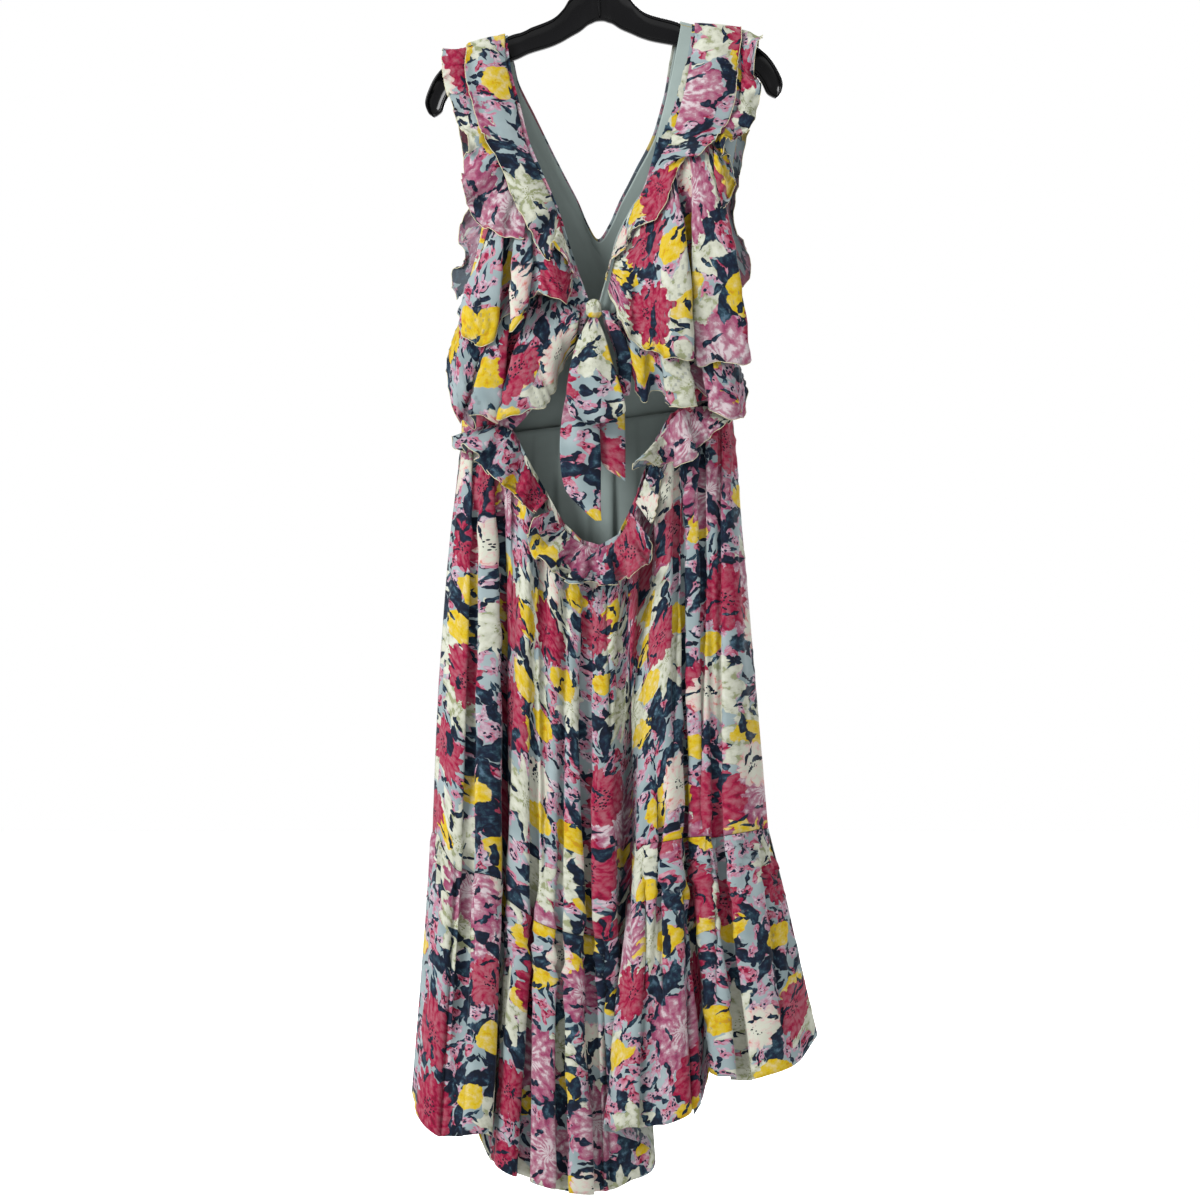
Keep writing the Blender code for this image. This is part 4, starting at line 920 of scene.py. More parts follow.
def frill_grid(rows, base, reach, facing, pitch, depth, seed, side=0):
    """A gathered frill: seam on its base, waves over the cloth below, hem as tabled.

    From seam to hem the cloth falls on a shallow arc. Waves are FRILL_DEPTH times as deep
    as the table's and overhang at their flanks. Ripples grow towards the hem, shorter tucks
    die away from the seam, and the hem itself bobs up and down. What would cut into the
    cloth below is pushed out, and the push is softened into its surroundings.
    """
    keys = columns_of(rows, FRILL)
    level = np.convolve(np.pad(keys[:, 4], 1, mode="edge"), (0.25, 0.5, 0.25), mode="valid")
    keys[:, 4] = level + FRILL_DEPTH * (keys[:, 4] - level)
    seam_x, seam_drop, hem_x, hem_drop, hem_out = spline(keys, 2).T
    level = widened(base, 1)[tuple(cells_of(place(seam_x, seam_drop, 0)))]
    seam = place(seam_x, seam_drop, facing * (level + CAD_WALL + SEAM_GAP))
    hem = place(hem_x, hem_drop, facing * hem_out)
    v = np.linspace(0, 1, FRILL_ROWS + 1)[:, None, None]
    grid = seam * (1 - v) + hem * v
    width = np.linalg.norm(hem - seam, axis=1)
    grid[:, :, 1] -= facing * FRILL_CROWN * width[None, :] * np.sin(math.pi * v[:, :, 0])
    grid[:1] = lay_over(grid[:1], reach, facing, CAD_WALL + SEAM_GAP, 1)
    grid[1:] = lay_over(grid[1:], reach, facing, CAD_WALL + LAYER_GAP, 2)
    if side:
        grid = over_arm(grid, side, facing, OVER_TURNS)
    grid = flute(refine(grid, 4, 5), *FRILL_FLUTE)
    share = np.linspace(0, 1, len(grid))[:, None]
    across = arc_length(grid, 1)
    ripple = uneven_wave(across, 1.5 * pitch, seed) * share ** 1.4
    tuck = uneven_wave(across, 0.75 * pitch, seed + 1) * np.exp(-(share / 0.35) ** 2)
    bend = depth * (1.1 * ripple + 0.45 * tuck)
    grid = grid + facing_of(grid) * bend[..., None]
    grid[-1, :, 2] -= 0.6 * depth * np.sin(TAU * across[-1] / (2.3 * pitch) + seed)
    lifted = lay_over(grid, reach, facing, 0.6 * CAD_WALL + 0.5 * LAYER_GAP, 1)
    grid[..., 1] += softened(lifted[..., 1] - grid[..., 1], 2)
    return grid


# ---------------------------------------------------------------- tie

KNOT = dict(x=0, drop=470 * MM, out=54.2 * MM, radii=(10 * MM, 9.5 * MM, 12 * MM),
            pole=0.04, shift=(6.378, 1.006))
KNOT_GAP = 0.45 * MM       # from the knot's skin to the middle of a strip's end
STRIP = "left_x right_x drop out crown"
LOOP_FRONT = table(STRIP, [
    (-9, 7, 489, 62, 2), (-17, 13, 503, 70, 5), (-27, 22, 535, 75, 6), (-32, 32, 566, 74, 5),
    (-30, 37, 586, 72, 3), (-27, 36, 594, 67, 1), (-28, 35, 586, 62, -1),
    (-25, 27, 560, 62, -2), (-18, 18, 530, 61, -2), (-8, 8, 500, 58, -1), (-5, 5, 490, 55, 0)])
LOOP_SIDE = table(STRIP, [
    (8.6, 17, 472, 57, 1), (16, 29, 490, 61, 2), (27, 43, 525, 59, 3), (30, 43, 560, 55, 2),
    (31, 41, 571, 52, 0), (30, 41, 560, 51, -1), (24, 38, 520, 52, -1), (13, 23, 490, 52, -1),
    (8.7, 16, 474, 51, 0)])
TAIL_LEFT = table(STRIP, [
    (-8, -1, 489, 51, 0), (-16, 2, 520, 49, 2), (-30, 4, 560, 47, 4), (-38, 6, 600, 48, 5),
    (-40, 8, 640, 50, 5), (-34, 8, 680, 50, 4), (-14, 8, 704, 50, 2), (2, 9, 718, 50, 0)])
TAIL_RIGHT = table(STRIP, [
    (1, 8, 489, 49, 0), (4, 18, 525, 43, 1), (6, 34, 560, 40, 2), (4, 36, 592, 39, 3),
    (1, 37, 625, 40, 3), (8, 37, 652, 41, 3), (14, 37, 664, 41, 2)])
STRIP_POINTS = 21          # across a strip
STRIP_FOLD = 0.035         # depth of a lengthwise fold, as a share of the strip's width
TIED_ROWS = 6              # rows over which a tied end is drawn to the knot
# Name, table, rows that are tied, folds, place in the print, bulge and slant of the low edge.
TIE_STRIPS = (("tie_loop_front", LOOP_FRONT, (0, -1), 2, (6.085, 0.29), 10 * MM, -4 * MM),
              ("tie_loop_side", LOOP_SIDE, (), 1, (6.5, 0.4), 0, 0),
              ("tie_tail_left", TAIL_LEFT, (0,), 2, (6.9, 0.1), 0, 0),
              ("tie_tail_right", TAIL_RIGHT, (0,), 2, (7.3, 0.6), 0, 15 * MM))


def to_knot(points):
    """Points drawn in along their lines to the knot's middle until they almost touch it."""
    centre = place(KNOT["x"], KNOT["drop"], KNOT["out"])
    grown = np.array(KNOT["radii"]) + KNOT_GAP
    away = points - centre
    return centre + away / np.linalg.norm(away / grown, axis=1, keepdims=True)


def strip_grid(rows, tied, folds, seed, bulge, slant):
    """A band of the tie: bowed across its width, with lengthwise folds that fan from the knot.

    Towards its lowest row the middle hangs lower by the bulge and the right side by the slant.
    """
    left, right, drop, out, crown = spline(columns_of(rows, STRIP), 8).T
    u = np.linspace(0, 1, STRIP_POINTS)
    x = left[:, None] + (right - left)[:, None] * u
    near = np.linspace(0, 1, len(left))[:, None]
    fold = np.sin(TAU * folds * u + seed + 1.5 * near) * (right - left)[:, None] * STRIP_FOLD
    fade = np.sin(math.pi * np.clip(near * 1.3, 0, 1)) * 0.6 + 0.4 * np.exp(-near * 6)
    bowed = out[:, None] + crown[:, None] * np.sin(math.pi * u) + fold * fade
    low = np.clip((drop - drop.min()) / np.ptp(drop), 0, 1)[:, None] ** 3
    hang = drop[:, None] + low * (bulge * (1 - (2 * u - 1) ** 2) + slant * (u - 0.5))
    grid = place(x, hang, bowed)
    for row in tied:
        share = np.clip(1 - np.abs(np.arange(len(grid)) - row % len(grid)) / TIED_ROWS, 0, 1)
        ends = to_knot(grid[row])
        grid = grid + share[:, None, None] * (ends - grid[row])[None]
    return grid


def knot_part():
    """An ellipsoid pinched at its waist, with cloth folds that wind slantwise round it."""
    turn = TAU * np.arange(48) / 48
    rise = np.linspace(KNOT["pole"], math.pi - KNOT["pole"], 33)[:, None]
    waist = 1 - 0.16 * np.exp(-(KNOT["radii"][2] * np.cos(rise) / (4 * MM)) ** 2)
    fold = 1 + 0.09 * np.sin(5 * turn + 2.6 * rise) + 0.04 * np.sin(9 * turn - 1.7 * rise)
    width = np.sin(rise) * waist * fold
    ring = np.stack(np.broadcast_arrays(
        KNOT["x"] + KNOT["radii"][0] * width * np.cos(turn),
        -KNOT["out"] + KNOT["radii"][1] * width * np.sin(turn),
        -KNOT["drop"] - KNOT["radii"][2] * np.cos(rise)), axis=-1)
    return closed_sleeve(ring[:, ::-1], KNOT["shift"])


# ---------------------------------------------------------------- materials

EDGE_SHARPNESS = 24.0      # so a flower's edge fades over 1/24 of its radius
CREPE_DEPTH = 0.3 * MM
BEAD = 1.6 * MM            # length of one bead of the hem's thread, about a stitch, and so of one band of painted shade and painted highlight along it
OBJECT_PLACE = 3           # the Texture Coordinate node's Object output


def feed(tree, node, inputs):
    """Give a node its inputs by name or number: a socket is linked, anything else is set."""
    for key, value in inputs.items():
        if isinstance(value, bpy.types.NodeSocket):
            tree.links.new(value, node.inputs[key])
        else:
            node.inputs[key].default_value = value


def add(tree, kind, *values, named=None, out=0, stops=None, **settings):
    """Add one shader node.

    Values go to its inputs in order and `named` to inputs by name or number. Settings are
    its properties, stops its colour stops.
    """
    made = tree.nodes.new("ShaderNode" + kind)
    for key, value in settings.items():
        setattr(made, key, value)
    feed(tree, made, dict(enumerate(values)) | (named or {}))
    if stops:
        elements = made.color_ramp.elements
        while len(elements) < len(stops):
            elements.new(0.5)
        for element, (position, colour) in zip(elements, stops):
            element.position = position
            element.color = (*colour, 1.0)
    return made.outputs[out]


def shade(colour, share):
    """The colour made darker (share below 1) or paler (share above 1, towards white)."""
    if share <= 1:
        return tuple(c * share for c in colour)
    return tuple(c + (1 - c) * (share - 1) for c in colour)


def blossom(tree, spot, wash, speck, below, cell, turn, petals, radius, depth, point, stops,
            heart, share=1.0, scatter=0.6, lines=0.3, rings=1, bands=0.0, glow=0.0, core=0.3,
            stretch=1.0, ragged=0.36):
    """Paint one layer of flowers over a colour.

    The plane is cut into irregular cells, each with one flower turned by chance, and a
    share of them is kept. A flower's edge stands at radius x (1 - depth x wave ^ point), the
    wave being 0 along a petal's middle and 1 between petals, and is made ragged by the wash.
    The tone that picks a colour stop is the wash + bands x ring - lines x wave + glow x
    nearness to the middle. Dots of the heart's colour fill the core. Lengths are in metres.
    """
    turned = add(tree, "Mapping", spot, named={
        "Rotation": (0, 0, turn), "Scale": (1 / cell, stretch / cell, 1 / cell),
        "Location": (turn, 2.3 * turn, 0)})
    cells = add(tree, "TexVoronoi", turned, named={"Scale": 1.0, "Randomness": scatter},
                voronoi_dimensions="2D").node
    offset = add(tree, "VectorMath", turned, cells.outputs["Position"], operation="SUBTRACT")
    x, y = (add(tree, "SeparateXYZ", offset, out=k) for k in (0, 1))
    chance, other, third = (add(tree, "SeparateColor", cells.outputs["Color"], out=k)
                            for k in range(3))
    angle = add(tree, "Math", y, x, operation="ARCTAN2")
    angle = add(tree, "Math", angle, petals / TAU, operation="MULTIPLY")
    spun = add(tree, "Math", chance, petals, angle, operation="MULTIPLY_ADD")
    saw = add(tree, "Math", spun, operation="FRACT")
    wave = add(tree, "Math", saw, 2.0, -1.0, operation="MULTIPLY_ADD")
    wave = add(tree, "Math", wave, operation="ABSOLUTE")
    wave = add(tree, "Math", wave, point, operation="POWER")
    grown = add(tree, "Math", other, 0.36 * radius / cell, 0.74 * radius / cell,
                operation="MULTIPLY_ADD")
    span = add(tree, "Math", cells.outputs["Distance"], grown, operation="DIVIDE")
    rough = add(tree, "Math", wash, ragged, span, operation="MULTIPLY_ADD")
    jagged = add(tree, "Math", wave, depth, rough, operation="MULTIPLY_ADD")
    mask = add(tree, "Math", 1 + ragged / 2, jagged, operation="SUBTRACT")
    mask = add(tree, "Math", mask, EDGE_SHARPNESS, operation="MULTIPLY", use_clamp=True)
    kept = add(tree, "Math", third, share, operation="LESS_THAN")
    mask = add(tree, "Math", mask, kept, operation="MULTIPLY")
    ring = add(tree, "Math", add(tree, "Math", jagged, rings, operation="MULTIPLY"),
               operation="FRACT")
    tone = add(tree, "Math", wave, -lines, wash, operation="MULTIPLY_ADD")
    tone = add(tree, "Math", ring, bands, tone, operation="MULTIPLY_ADD")
    tone = add(tree, "Math", span, -glow, tone, operation="MULTIPLY_ADD")
    tone = add(tree, "Math", chance, 0.16, tone, operation="MULTIPLY_ADD")
    petal = add(tree, "ValToRGB", add(tree, "Math", tone, glow, operation="ADD"), stops=stops)
    dots = add(tree, "Math", speck, span, operation="MAXIMUM")
    dots = add(tree, "Math", dots, core, operation="LESS_THAN")
    flower = add(tree, "Mix", named={0: dots, 6: petal, 7: (*heart, 1)}, data_type="RGBA", out=2)
    return add(tree, "Mix", named={0: mask, 6: below, 7: flower}, data_type="RGBA", out=2)


def floral_group(colours):
    """Node group that gives the print's colour at a place on the cloth, in metres.

    Layers from the ground up: small navy leaves, small lilac and rose blossoms, two layers of
    broad navy leaves, cream pointed flowers, yellow poppies, mauve dahlias, magenta dahlias
    with a dotted eye, rimmed zinnias, and slender and small leaves over them. The place is
    first pushed about by noise, which gives the edges a brushed look.
    """
    tree = bpy.data.node_groups.new("floral_print", "ShaderNodeTree")
    tree.interface.new_socket("Place", in_out="INPUT", socket_type="NodeSocketVector")
    tree.interface.new_socket("Colour", in_out="OUTPUT", socket_type="NodeSocketColor")
    entry = tree.nodes.new("NodeGroupInput").outputs[0]
    spot = entry
    for scale, reach in ((34.0, 9 * MM), (130.0, 2.2 * MM)):     # brush drift of 29 and 8 mm
        noise = add(tree, "TexNoise", named={"Vector": entry, "Scale": scale, "Detail": 1.0},
                    noise_dimensions="2D", out=1)
        drift = add(tree, "VectorMath", noise, (0.5, 0.5, 0.5), operation="SUBTRACT")
        drift = add(tree, "VectorMath", drift, (2 * reach, 2 * reach, 0), operation="MULTIPLY")
        spot = add(tree, "VectorMath", spot, drift, operation="ADD")
    wash = add(tree, "TexNoise", named={"Vector": entry, "Scale": 120.0, "Detail": 3.0,
                                        "Roughness": 0.6}, noise_dimensions="2D")
    speck = add(tree, "TexVoronoi", named={"Vector": entry, "Scale": 260.0},
                voronoi_dimensions="2D")
    ground, magenta, mauve, yellow, cream, navy = (
        tuple(getattr(colours, name))
        for name in ("ground", "magenta", "mauve", "yellow", "cream", "navy"))
    lilac, peach, rose = linear("#CAA2B8"), linear("#E58F80"), linear("#CF7590")
    ochre, moss, dark = linear("#DCA620"), linear("#9AA26C"), linear("#141C30")
    leaf = [(0.3, shade(navy, 0.5)), (0.48, navy), (0.62, linear("#2A4858")),
            (0.8, linear("#5D7C93"))]
    cloud = add(tree, "TexNoise", named={"Vector": entry, "Scale": 26.0}, noise_dimensions="2D")
    laid = add(tree, "ValToRGB", cloud,
               stops=[(0.3, shade(ground, 0.86)), (0.7, shade(ground, 1.1))])
    leaves = dict(stops=leaf, heart=navy, core=0.0)
    layers = (
        dict(leaves, cell=0.021, turn=1.3, petals=2, radius=0.017, depth=0.95, point=0.42,
             share=0.85, scatter=0.95, ragged=0.06),
        dict(cell=0.014, turn=0.4, petals=5, radius=0.0082, depth=0.4, point=2.0,
             stops=[(0.3, rose), (0.5, lilac), (0.75, shade(lilac, 1.45))],
             heart=navy, share=0.64, scatter=0.9, core=0.4, ragged=0.3),
        dict(cell=0.019, turn=2.2, petals=3, radius=0.0095, depth=0.5, point=1.2,
             stops=[(0.3, shade(magenta, 0.8)), (0.5, rose), (0.75, shade(rose, 1.3))],
             heart=dark, share=0.42, scatter=0.9, core=0.35, ragged=0.3),
        dict(leaves, cell=0.060, turn=0.9, petals=3, radius=0.042, depth=0.88, point=0.62,
             share=0.42, scatter=0.85, ragged=0.08),
        dict(leaves, cell=0.078, turn=2.0, petals=4, radius=0.046, depth=0.8, point=0.75,
             share=0.36, scatter=0.85, stretch=0.8, ragged=0.12),
        dict(cell=0.088, turn=1.1, petals=9, radius=0.042, depth=0.45, point=1.0,
             stops=[(0.28, shade(moss, 1.1)), (0.4, shade(cream, 0.84)), (0.58, cream),
                    (0.8, shade(cream, 1.3))],
             heart=moss, share=0.6, lines=0.24, core=0.2, stretch=0.85, ragged=0.2),
        dict(cell=0.078, turn=0.2, petals=3, radius=0.025, depth=0.14, point=3.0,
             stops=[(0.3, ochre), (0.44, yellow), (0.62, shade(yellow, 1.08)),
                    (0.82, shade(yellow, 1.35))],
             heart=ochre, share=0.58, lines=0.12, core=0.14, stretch=1.35, ragged=0.22),
        dict(cell=0.112, turn=2.7, petals=17, radius=0.049, depth=0.2, point=1.4,
             stops=[(0.2, shade(mauve, 0.62)), (0.5, mauve), (0.78, shade(mauve, 1.2)),
                    (0.96, shade(mauve, 1.65))],
             heart=magenta, share=0.42, rings=2, bands=0.12, lines=0.26, glow=0.42, core=0.12),
        dict(cell=0.100, turn=1.7, petals=15, radius=0.037, depth=0.2, point=1.6,
             stops=[(0.2, shade(magenta, 0.5)), (0.42, magenta), (0.78, shade(magenta, 1.14))],
             heart=dark, share=0.52, bands=0.08, lines=0.2, core=0.28, stretch=0.9),
        dict(cell=0.13, turn=2.4, petals=13, radius=0.030, depth=0.2, point=1.6,
             stops=[(0.15, magenta), (0.36, peach), (0.55, shade(peach, 1.5)),
                    (0.8, shade(cream, 1.1))],
             heart=dark, share=0.5, rings=3, bands=0.2, lines=0.2, glow=0.34, core=0.26),
        dict(leaves, cell=0.066, turn=0.6, petals=2, radius=0.032, depth=0.95, point=0.45,
             share=0.45, scatter=0.95, ragged=0.08),
        dict(leaves, cell=0.020, turn=2.9, petals=2, radius=0.012, depth=0.92, point=0.5,
             share=0.36, scatter=1.0, ragged=0.06),
    )
    for layer in layers:
        laid = blossom(tree, spot, wash, speck, laid, **layer)
    feed(tree, tree.nodes.new("NodeGroupOutput"), {0: laid})
    return tree


def crepe_bump(tree, spot, pitch, strength):
    """Normal of the fine uneven grain of a twisted yarn, one grain to the pitch."""
    grain = add(tree, "TexNoise", named={"Vector": spot, "Scale": 1 / pitch, "Detail": 3.0})
    return add(tree, "Bump",
               named={"Height": grain, "Strength": strength, "Distance": CREPE_DEPTH})


# Each of these lays its nodes in the tree and returns the inputs of the Principled shader.


def printed_chiffon(tree, colours, reverse=False):
    """Polyester chiffon, woven of crepe yarn and printed on its face.

    The face is matt with a soft bloom of light at grazing angles; the reverse shows the same
    print, greyer and darker, because the dye doesn't reach through.
    """
    spot = add(tree, "UVMap", uv_map="Cloth")
    group = bpy.data.node_groups.get("floral_print") or floral_group(colours)
    colour = add(tree, "Group", spot, node_tree=group)
    if reverse:
        colour = add(tree, "Mix", named={0: 0.42, 6: colour, 7: (*linear("#7F8A90"), 1)},
                     data_type="RGBA", out=2)
    colour = add(tree, "Mix", named={0: 1.0, 6: colour, 7: (DYE, DYE, DYE, 1)},
                 data_type="RGBA", blend_type="MULTIPLY", out=2)
    grain = crepe_bump(tree, spot, 1.6 * MM, 0.35)      # true grain is 0.3 mm, too fine to show
    return {"Base Color": colour, "Roughness": 0.78, "Specular IOR Level": 0.1,
            "Sheen Weight": 0.04, "Sheen Roughness": 0.45, "Normal": grain}


def lining_fabric(tree, colours):
    """Plain woven polyester lining: smooth and matt, faintly clouded, with a little sheen."""
    spot = add(tree, "UVMap", uv_map="Cloth")
    cloudy = add(tree, "TexNoise", named={"Vector": spot, "Scale": 22.0, "Detail": 3.0})
    base = tuple(colours.lining)
    colour = add(tree, "ValToRGB", cloudy, stops=[(0.35, shade(base, 1.3 * DYE)),
                                                  (0.65, shade(base, 1.5 * DYE))])
    grain = crepe_bump(tree, spot, 1.4 * MM, 0.2)       # coarser than true, as on the chiffon
    return {"Base Color": colour, "Roughness": 0.6, "Specular IOR Level": 0.2,
            "Sheen Weight": 0.05, "Normal": grain}


def edge_thread(tree, colours):
    """Fine overlock thread laid close over a rolled edge, which beads the light. The colour is
    banded one bead apart with painted shade and painted highlight, for the light and shade over
    each bead of thread.
    """
    spot = add(tree, "UVMap", uv_map="Cloth")
    stitch_light_and_shade = add(tree, "TexWave", named={"Vector": spot, "Scale": 2 / TAU / BEAD},
                bands_direction="X")
    base = tuple(colours.thread)
    # painted shade at the dark stop and painted highlight at the pale stop, once a bead
    colour = add(tree, "ValToRGB", stitch_light_and_shade, stops=[(0.2, shade(base, 0.7 * DYE)),
                                                 (0.7, shade(base, 1.3 * DYE))])
    return {"Base Color": colour, "Roughness": 0.55}


def hanger_plastic(tree, colours):
    """Injection-moulded polystyrene: black and glossy, with faint rub marks.

    Its specular level is low, so the white room mirrors in it as near black.
    """
    spot = add(tree, "TexCoord", out=OBJECT_PLACE)
    rub = add(tree, "TexNoise", named={"Vector": spot, "Scale": 40.0, "Detail": 2.0})
    rough = add(tree, "MapRange", rub, 0.3, 0.7, 0.12, 0.2)
    return {"Base Color": (*colours.plastic, 1), "Roughness": rough, "Specular IOR Level": 0.1}


def hook_wire(tree, colours):
    """Drawn steel wire with bright plating: mirror-like, with fine rub marks of about 3 mm."""
    spot = add(tree, "TexCoord", out=OBJECT_PLACE)
    marks = add(tree, "TexNoise", named={"Vector": spot, "Scale": 300.0, "Detail": 4.0})
    rough = add(tree, "MapRange", marks, 0.3, 0.7, 0.14, 0.26)
    return {"Base Color": (*linear("#A4A6AA"), 1), "Roughness": rough, "Metallic": 1.0}


def studio_floor(tree, colours):
    """Matt white paint on a smooth board."""
    spot = add(tree, "TexCoord", out=OBJECT_PLACE)
    cloudy = add(tree, "TexNoise", named={"Vector": spot, "Scale": 2.0})
    colour = add(tree, "ValToRGB", cloudy,
                 stops=[(0.3, linear("#FBFBFB")), (0.7, linear("#FDFDFD"))])
    return {"Base Color": colour, "Roughness": 0.9}


MATERIALS = dict(printed_chiffon_face=printed_chiffon,
                 printed_chiffon_reverse=partial(printed_chiffon, reverse=True),
                 woven_sage_lining=lining_fabric, rolled_hem_thread=edge_thread,
                 moulded_black_polystyrene=hanger_plastic, plated_steel_wire=hook_wire,
                 matt_white_board=studio_floor)


def paint(name):
    """The material of this name, made on first use from the user's colours."""
    if name not in bpy.data.materials:
        made = bpy.data.materials.new(name)
        made.use_nodes = True
        tree = made.node_tree
        inputs = MATERIALS[name](tree, bpy.context.scene.dress_colours)
        feed(tree, tree.nodes["Principled BSDF"], inputs)
    return bpy.data.materials[name]


# ---------------------------------------------------------------- finished cloth pieces

PRINTED = ("printed_chiffon_face", "printed_chiffon_reverse", "rolled_hem_thread")
LINED = ("woven_sage_lining", "woven_sage_lining")
THREAD_SLOT, FACING_SLOT = 2, 3            # in a piece's materials


def cloth_piece(name, grid, shift, paints=PRINTED, rolled=False,
                strip=None, plain=False):
    """A finished piece of cloth named after its node; a rolled hem has a tube of thread.

    The face's cells in `strip`, if any, are of the lining cloth.
    """
    sizes = bpy.context.scene.dress_cloth
    parts = [wall(grid, sizes.thickness, shift, plain)]
    if strip is not None:
        slots = parts[0][3]
        slots[:strip.size] = np.where(strip.ravel(), FACING_SLOT, slots[:strip.size])
    if rolled:
        parts.append(tube(grid[-1], facing_of(grid)[-1], sizes.thread, THREAD_SLOT))
    made = add_piece(name + "_cloth", parts, [paint(key) for key in paints], [name])
    return made


# ---------------------------------------------------------------- stage

VIEW_WIDTH = 1420.8 * MM   # what the camera takes in at the hanger's plane
VIEW_CENTRE = (7.1 * MM, 0, -811 * MM)
FLOOR = dict(below=25 * MM, side=9.0, near=-7.0, far=9.0)  # below the dress, x and y in metres
SENSOR = 36                # millimetres, as Blender's lens lengths are
# Name, setting and share of it for the power, side in metres, and place.
LAMPS = (("key", "key", 1, 1.5, (-2.9, -2.4, 1.3)), ("fill", "fill", 1, 3.0, (2.8, -2.6, -0.2)),
         ("far", "key", 0.6, 2.5, (1.6, 3.4, 0.9)), ("top", "key", 0.1, 2.0, (0.3, 0.4, 1.8)))


def aim(thing, spot):
    """Put a lamp or camera at a spot, its -Z axis towards the view's middle and its Y axis up."""
    back = unit(np.array(spot, float) - np.array(VIEW_CENTRE, float))
    right = unit(np.cross((0.0, 0.0, 1.0), back))
    up = np.cross(back, right)
    matrix = np.eye(4)
    matrix[:3, :3] = np.stack([right, up, back], axis=1)
    matrix[:3, 3] = spot
    thing.matrix_world = Matrix(matrix.tolist())


# ---------------------------------------------------------------- operators


class DRESS_OT_hanger(bpy.types.Operator):
    """Build the moulded hanger and its wire hook"""

    bl_idname = "dress.hanger"
    bl_label = "Hanger"

    def execute(self, context):
        add_piece("hanger_moulding", [hanger_part(), rib_part(1), rib_part(-1)],
                  [paint("moulded_black_polystyrene")], ["hanger_body"])
        add_piece("hook_wire", [hook_part()], [paint("plated_steel_wire")], ["hanger_hook"])
        return {"FINISHED"}


class DRESS_OT_skirt(bpy.types.Operator):
    """Build the skirt and its gathered tier, back and front, and the skirt's lining"""

    bl_idname = "dress.skirt"
    bl_label = "Skirt and tier"

    def execute(self, context):
        sizes = context.scene.dress_cloth
        grids = back_panels() + front_panels()
        for number, (name, fullness, spacing, fade, shift) in enumerate(SKIRT_PANELS):
            grid = grids[number]
            depth = sizes.pucker * fullness
            pitch = sizes.pitch * spacing
            if name.startswith("back"):
                grid = crease(grid, BACK_CREASES)
            grid = gather(grid, pitch, depth, fade, number + 0.7)
            grid = gather(grid, 1.9 * pitch, 0.6 * depth, 3.2 * fade, number + 2.9)
            grid = close_sides(flute(grid, *SKIRT_FLUTE))
            cloth_piece(name, grid, shift)
        cloth_piece("front_skirt_lining", lining_grid(), (0.2, 0.2), LINED)
        return {"FINISHED"}


class DRESS_OT_bodice(bpy.types.Operator):
    """Build the two halves of the open back, the V-necked front and its lining"""

    bl_idname = "dress.bodice"
    bl_label = "Bodice"

    def execute(self, context):
        sizes = context.scene.dress_cloth
        front, lining = front_grids()
        left, right, front = (
            close_sides(gather(grid, sizes.pitch, fullness * sizes.pucker, fade, seed, False))
            for grid, (fullness, fade, seed) in zip((*back_halves(), front), BODICE_GATHERS))
        cloth_piece("back_bodice_left", left, (3.3, 0.6), plain=True)
        faced = right[..., 0] < np.interp(-right[..., 2], FACING_EDGE["drop"], FACING_EDGE["x"])
        cloth_piece("back_bodice_right", right, (3.9, 0.7), PRINTED + LINED[:1],
                    strip=faced[:-1, 1:], plain=True)
        cloth_piece("front_bodice", front, (4.6, 0.5), plain=True)
        cloth_piece("front_bodice_lining", lining, (0.5, 0.5), LINED)
        return {"FINISHED"}


class DRESS_OT_frills(bpy.types.Operator):
    """Build the frills and flounces, each laid over those made before it"""

    bl_idname = "dress.frills"
    bl_label = "Frills"

    def execute(self, context):
        sizes = context.scene.dress_cloth
        number = 0
        left, right = back_halves()
        for bases, facing, frills in (((left,), 1, LEFT_FRILLS), ((right,), 1, RIGHT_FRILLS),
                                      ((back_panels()[0], left, right), 1, CUTOUT_FRILLS),
                                      (front_grids()[:1], -1, FRONT_FRILLS)):
            ground = np.full(MAP_SHAPE, NO_CLOTH)
            for base in bases:
                add_reach(ground, base, facing)
            reach = ground.copy()
            for name, rows in frills.items():
                number += 1
                side = 0
                if name.startswith(("neck", "arm")):
                    side = -1 if name.endswith("left") else 1
                grid = frill_grid(rows, ground, reach, facing, sizes.pitch, sizes.pucker, number,
                                  side)
                add_reach(reach, grid, facing)
                if (facing_of(grid)[..., 1].mean() > 0) == (facing > 0):
                    grid = grid[:, ::-1]
                cloth_piece(name, grid, (5.0 + 0.37 * number, 0.9 - 0.23 * number), rolled=True)
        return {"FINISHED"}


class DRESS_OT_tie(bpy.types.Operator):
    """Build the bow: its knot, two loops and two tails"""

    bl_idname = "dress.tie"
    bl_label = "Tie"

    def execute(self, context):
        knot = add_piece("tie_knot_cloth", [knot_part()], [paint(PRINTED[0])], ["tie_knot"])
        for number, (name, rows, tied, folds, shift, bulge, slant) in enumerate(TIE_STRIPS):
            cloth_piece(name, strip_grid(rows, tied, folds, number, bulge, slant), shift)
        return {"FINISHED"}


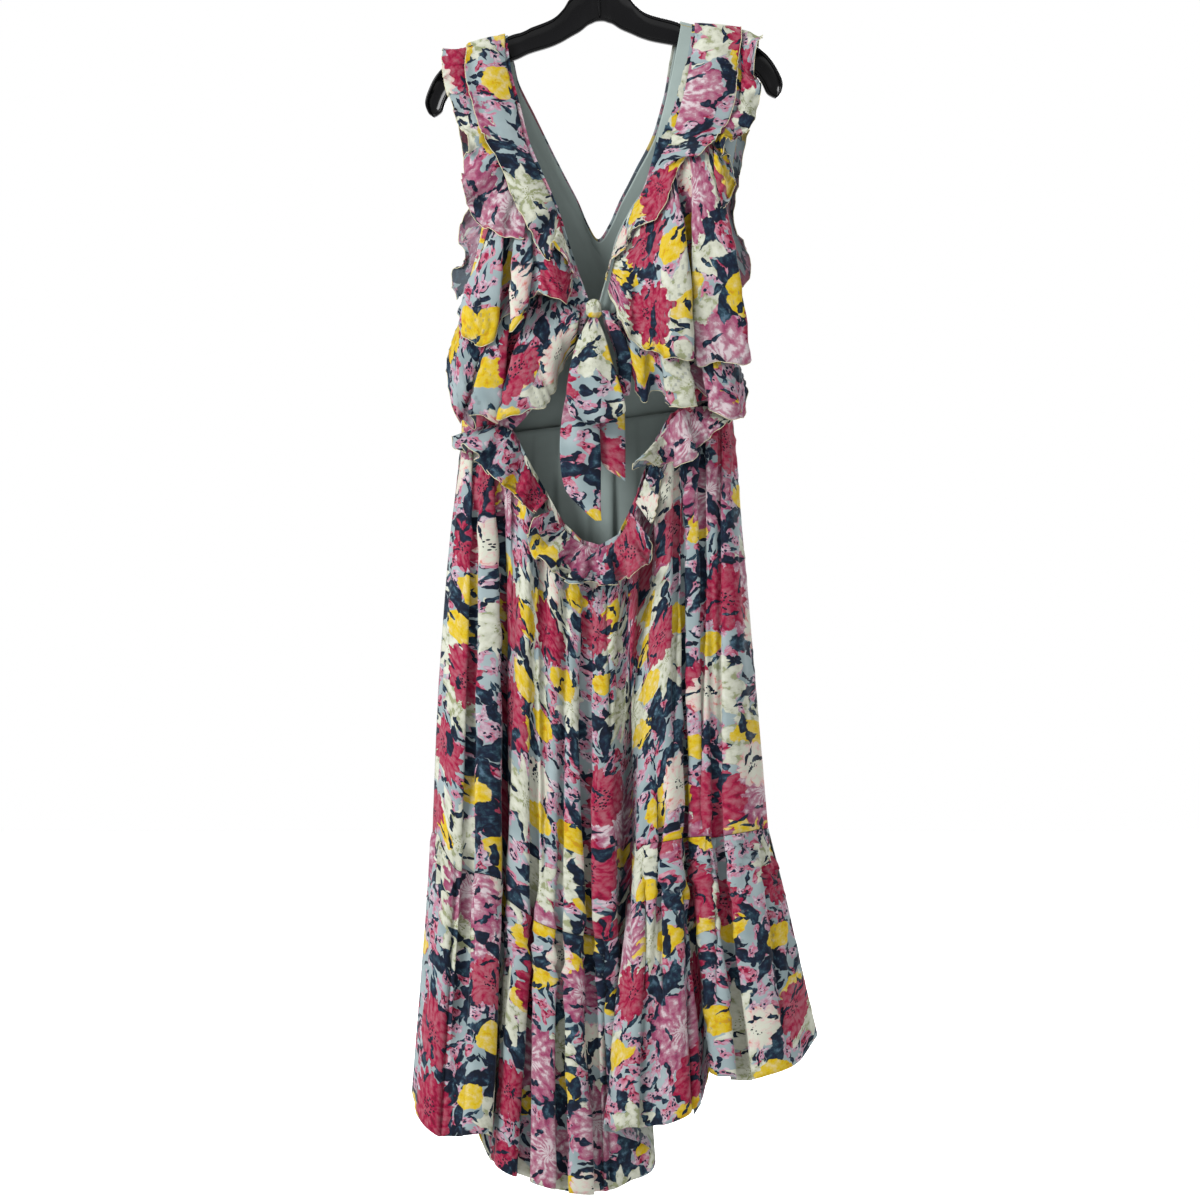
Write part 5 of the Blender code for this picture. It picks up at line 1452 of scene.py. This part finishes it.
class DRESS_OT_stage(bpy.types.Operator):
    """Set the floor, the lights and the camera"""

    bl_idname = "dress.stage"
    bl_label = "Stage"

    def execute(self, context):
        stage = context.scene.dress_stage
        low = float(CAD_BOX[0][2]) - FLOOR["below"]
        mesh = bpy.data.meshes.new("floor")
        mesh.from_pydata([(-FLOOR["side"], FLOOR["near"], low), (FLOOR["side"], FLOOR["near"], low),
                          (FLOOR["side"], FLOOR["far"], low), (-FLOOR["side"], FLOOR["far"], low)],
                         [], [(0, 1, 2, 3)])
        mesh.materials.append(paint("matt_white_board"))
        floor = add_object("floor", mesh)
        world = bpy.data.worlds.new("studio")
        world.use_nodes = True
        feed(world.node_tree, world.node_tree.nodes["Background"],
             {"Color": (1, 1, 1, 1), "Strength": 1.0})
        context.scene.world = world
        for name, source, share, size, spot in LAMPS:
            lamp = bpy.data.lights.new(name, "AREA")
            lamp.energy = share * getattr(stage, source)
            lamp.size = size
            aim(add_object(name, lamp), spot)
        lens = bpy.data.cameras.new("camera")
        lens.sensor_width = SENSOR
        lens.lens = SENSOR * stage.distance / VIEW_WIDTH
        lens.clip_end = 60
        camera = add_object("camera", lens)
        aim(camera, (VIEW_CENTRE[0], -stage.distance, VIEW_CENTRE[2]))
        context.scene.camera = camera
        context.scene.view_settings.view_transform = "Standard"
        return {"FINISHED"}


class DRESS_PT_panel(bpy.types.Panel):
    """Sizes, colours and building steps of the dress"""

    bl_idname = "DRESS_PT_panel"
    bl_label = "Maxi dress"
    bl_space_type = "VIEW_3D"
    bl_region_type = "UI"
    bl_category = "Dress"

    def draw(self, context):
        scene = context.scene
        for group in (scene.dress_cloth, scene.dress_colours, scene.dress_stage):
            box = self.layout.box()
            for key in group.__annotations__:
                box.prop(group, key)
        for operator in STEPS:
            self.layout.operator(operator.bl_idname)


STEPS = (DRESS_OT_stage, DRESS_OT_hanger, DRESS_OT_skirt, DRESS_OT_bodice, DRESS_OT_frills,
         DRESS_OT_tie)
GROUPS = dict(dress_cloth=DressCloth, dress_colours=DressColours, dress_stage=DressStage)


def register():
    """Make the settings, the building steps and the panel known to Blender."""
    for kind in (*GROUPS.values(), *STEPS, DRESS_PT_panel):
        bpy.utils.register_class(kind)
    for key, kind in GROUPS.items():
        setattr(bpy.types.Scene, key, PointerProperty(type=kind))


def unregister():
    """Take them away again, in the opposite order."""
    for key in GROUPS:
        delattr(bpy.types.Scene, key)
    for kind in (DRESS_PT_panel, *STEPS[::-1], *list(GROUPS.values())[::-1]):
        bpy.utils.unregister_class(kind)


def main():
    """Build every piece in order."""
    register()
    for step in STEPS:
        group, name = step.bl_idname.split(".")
        getattr(getattr(bpy.ops, group), name)()


if __name__ == "__main__":
    main()
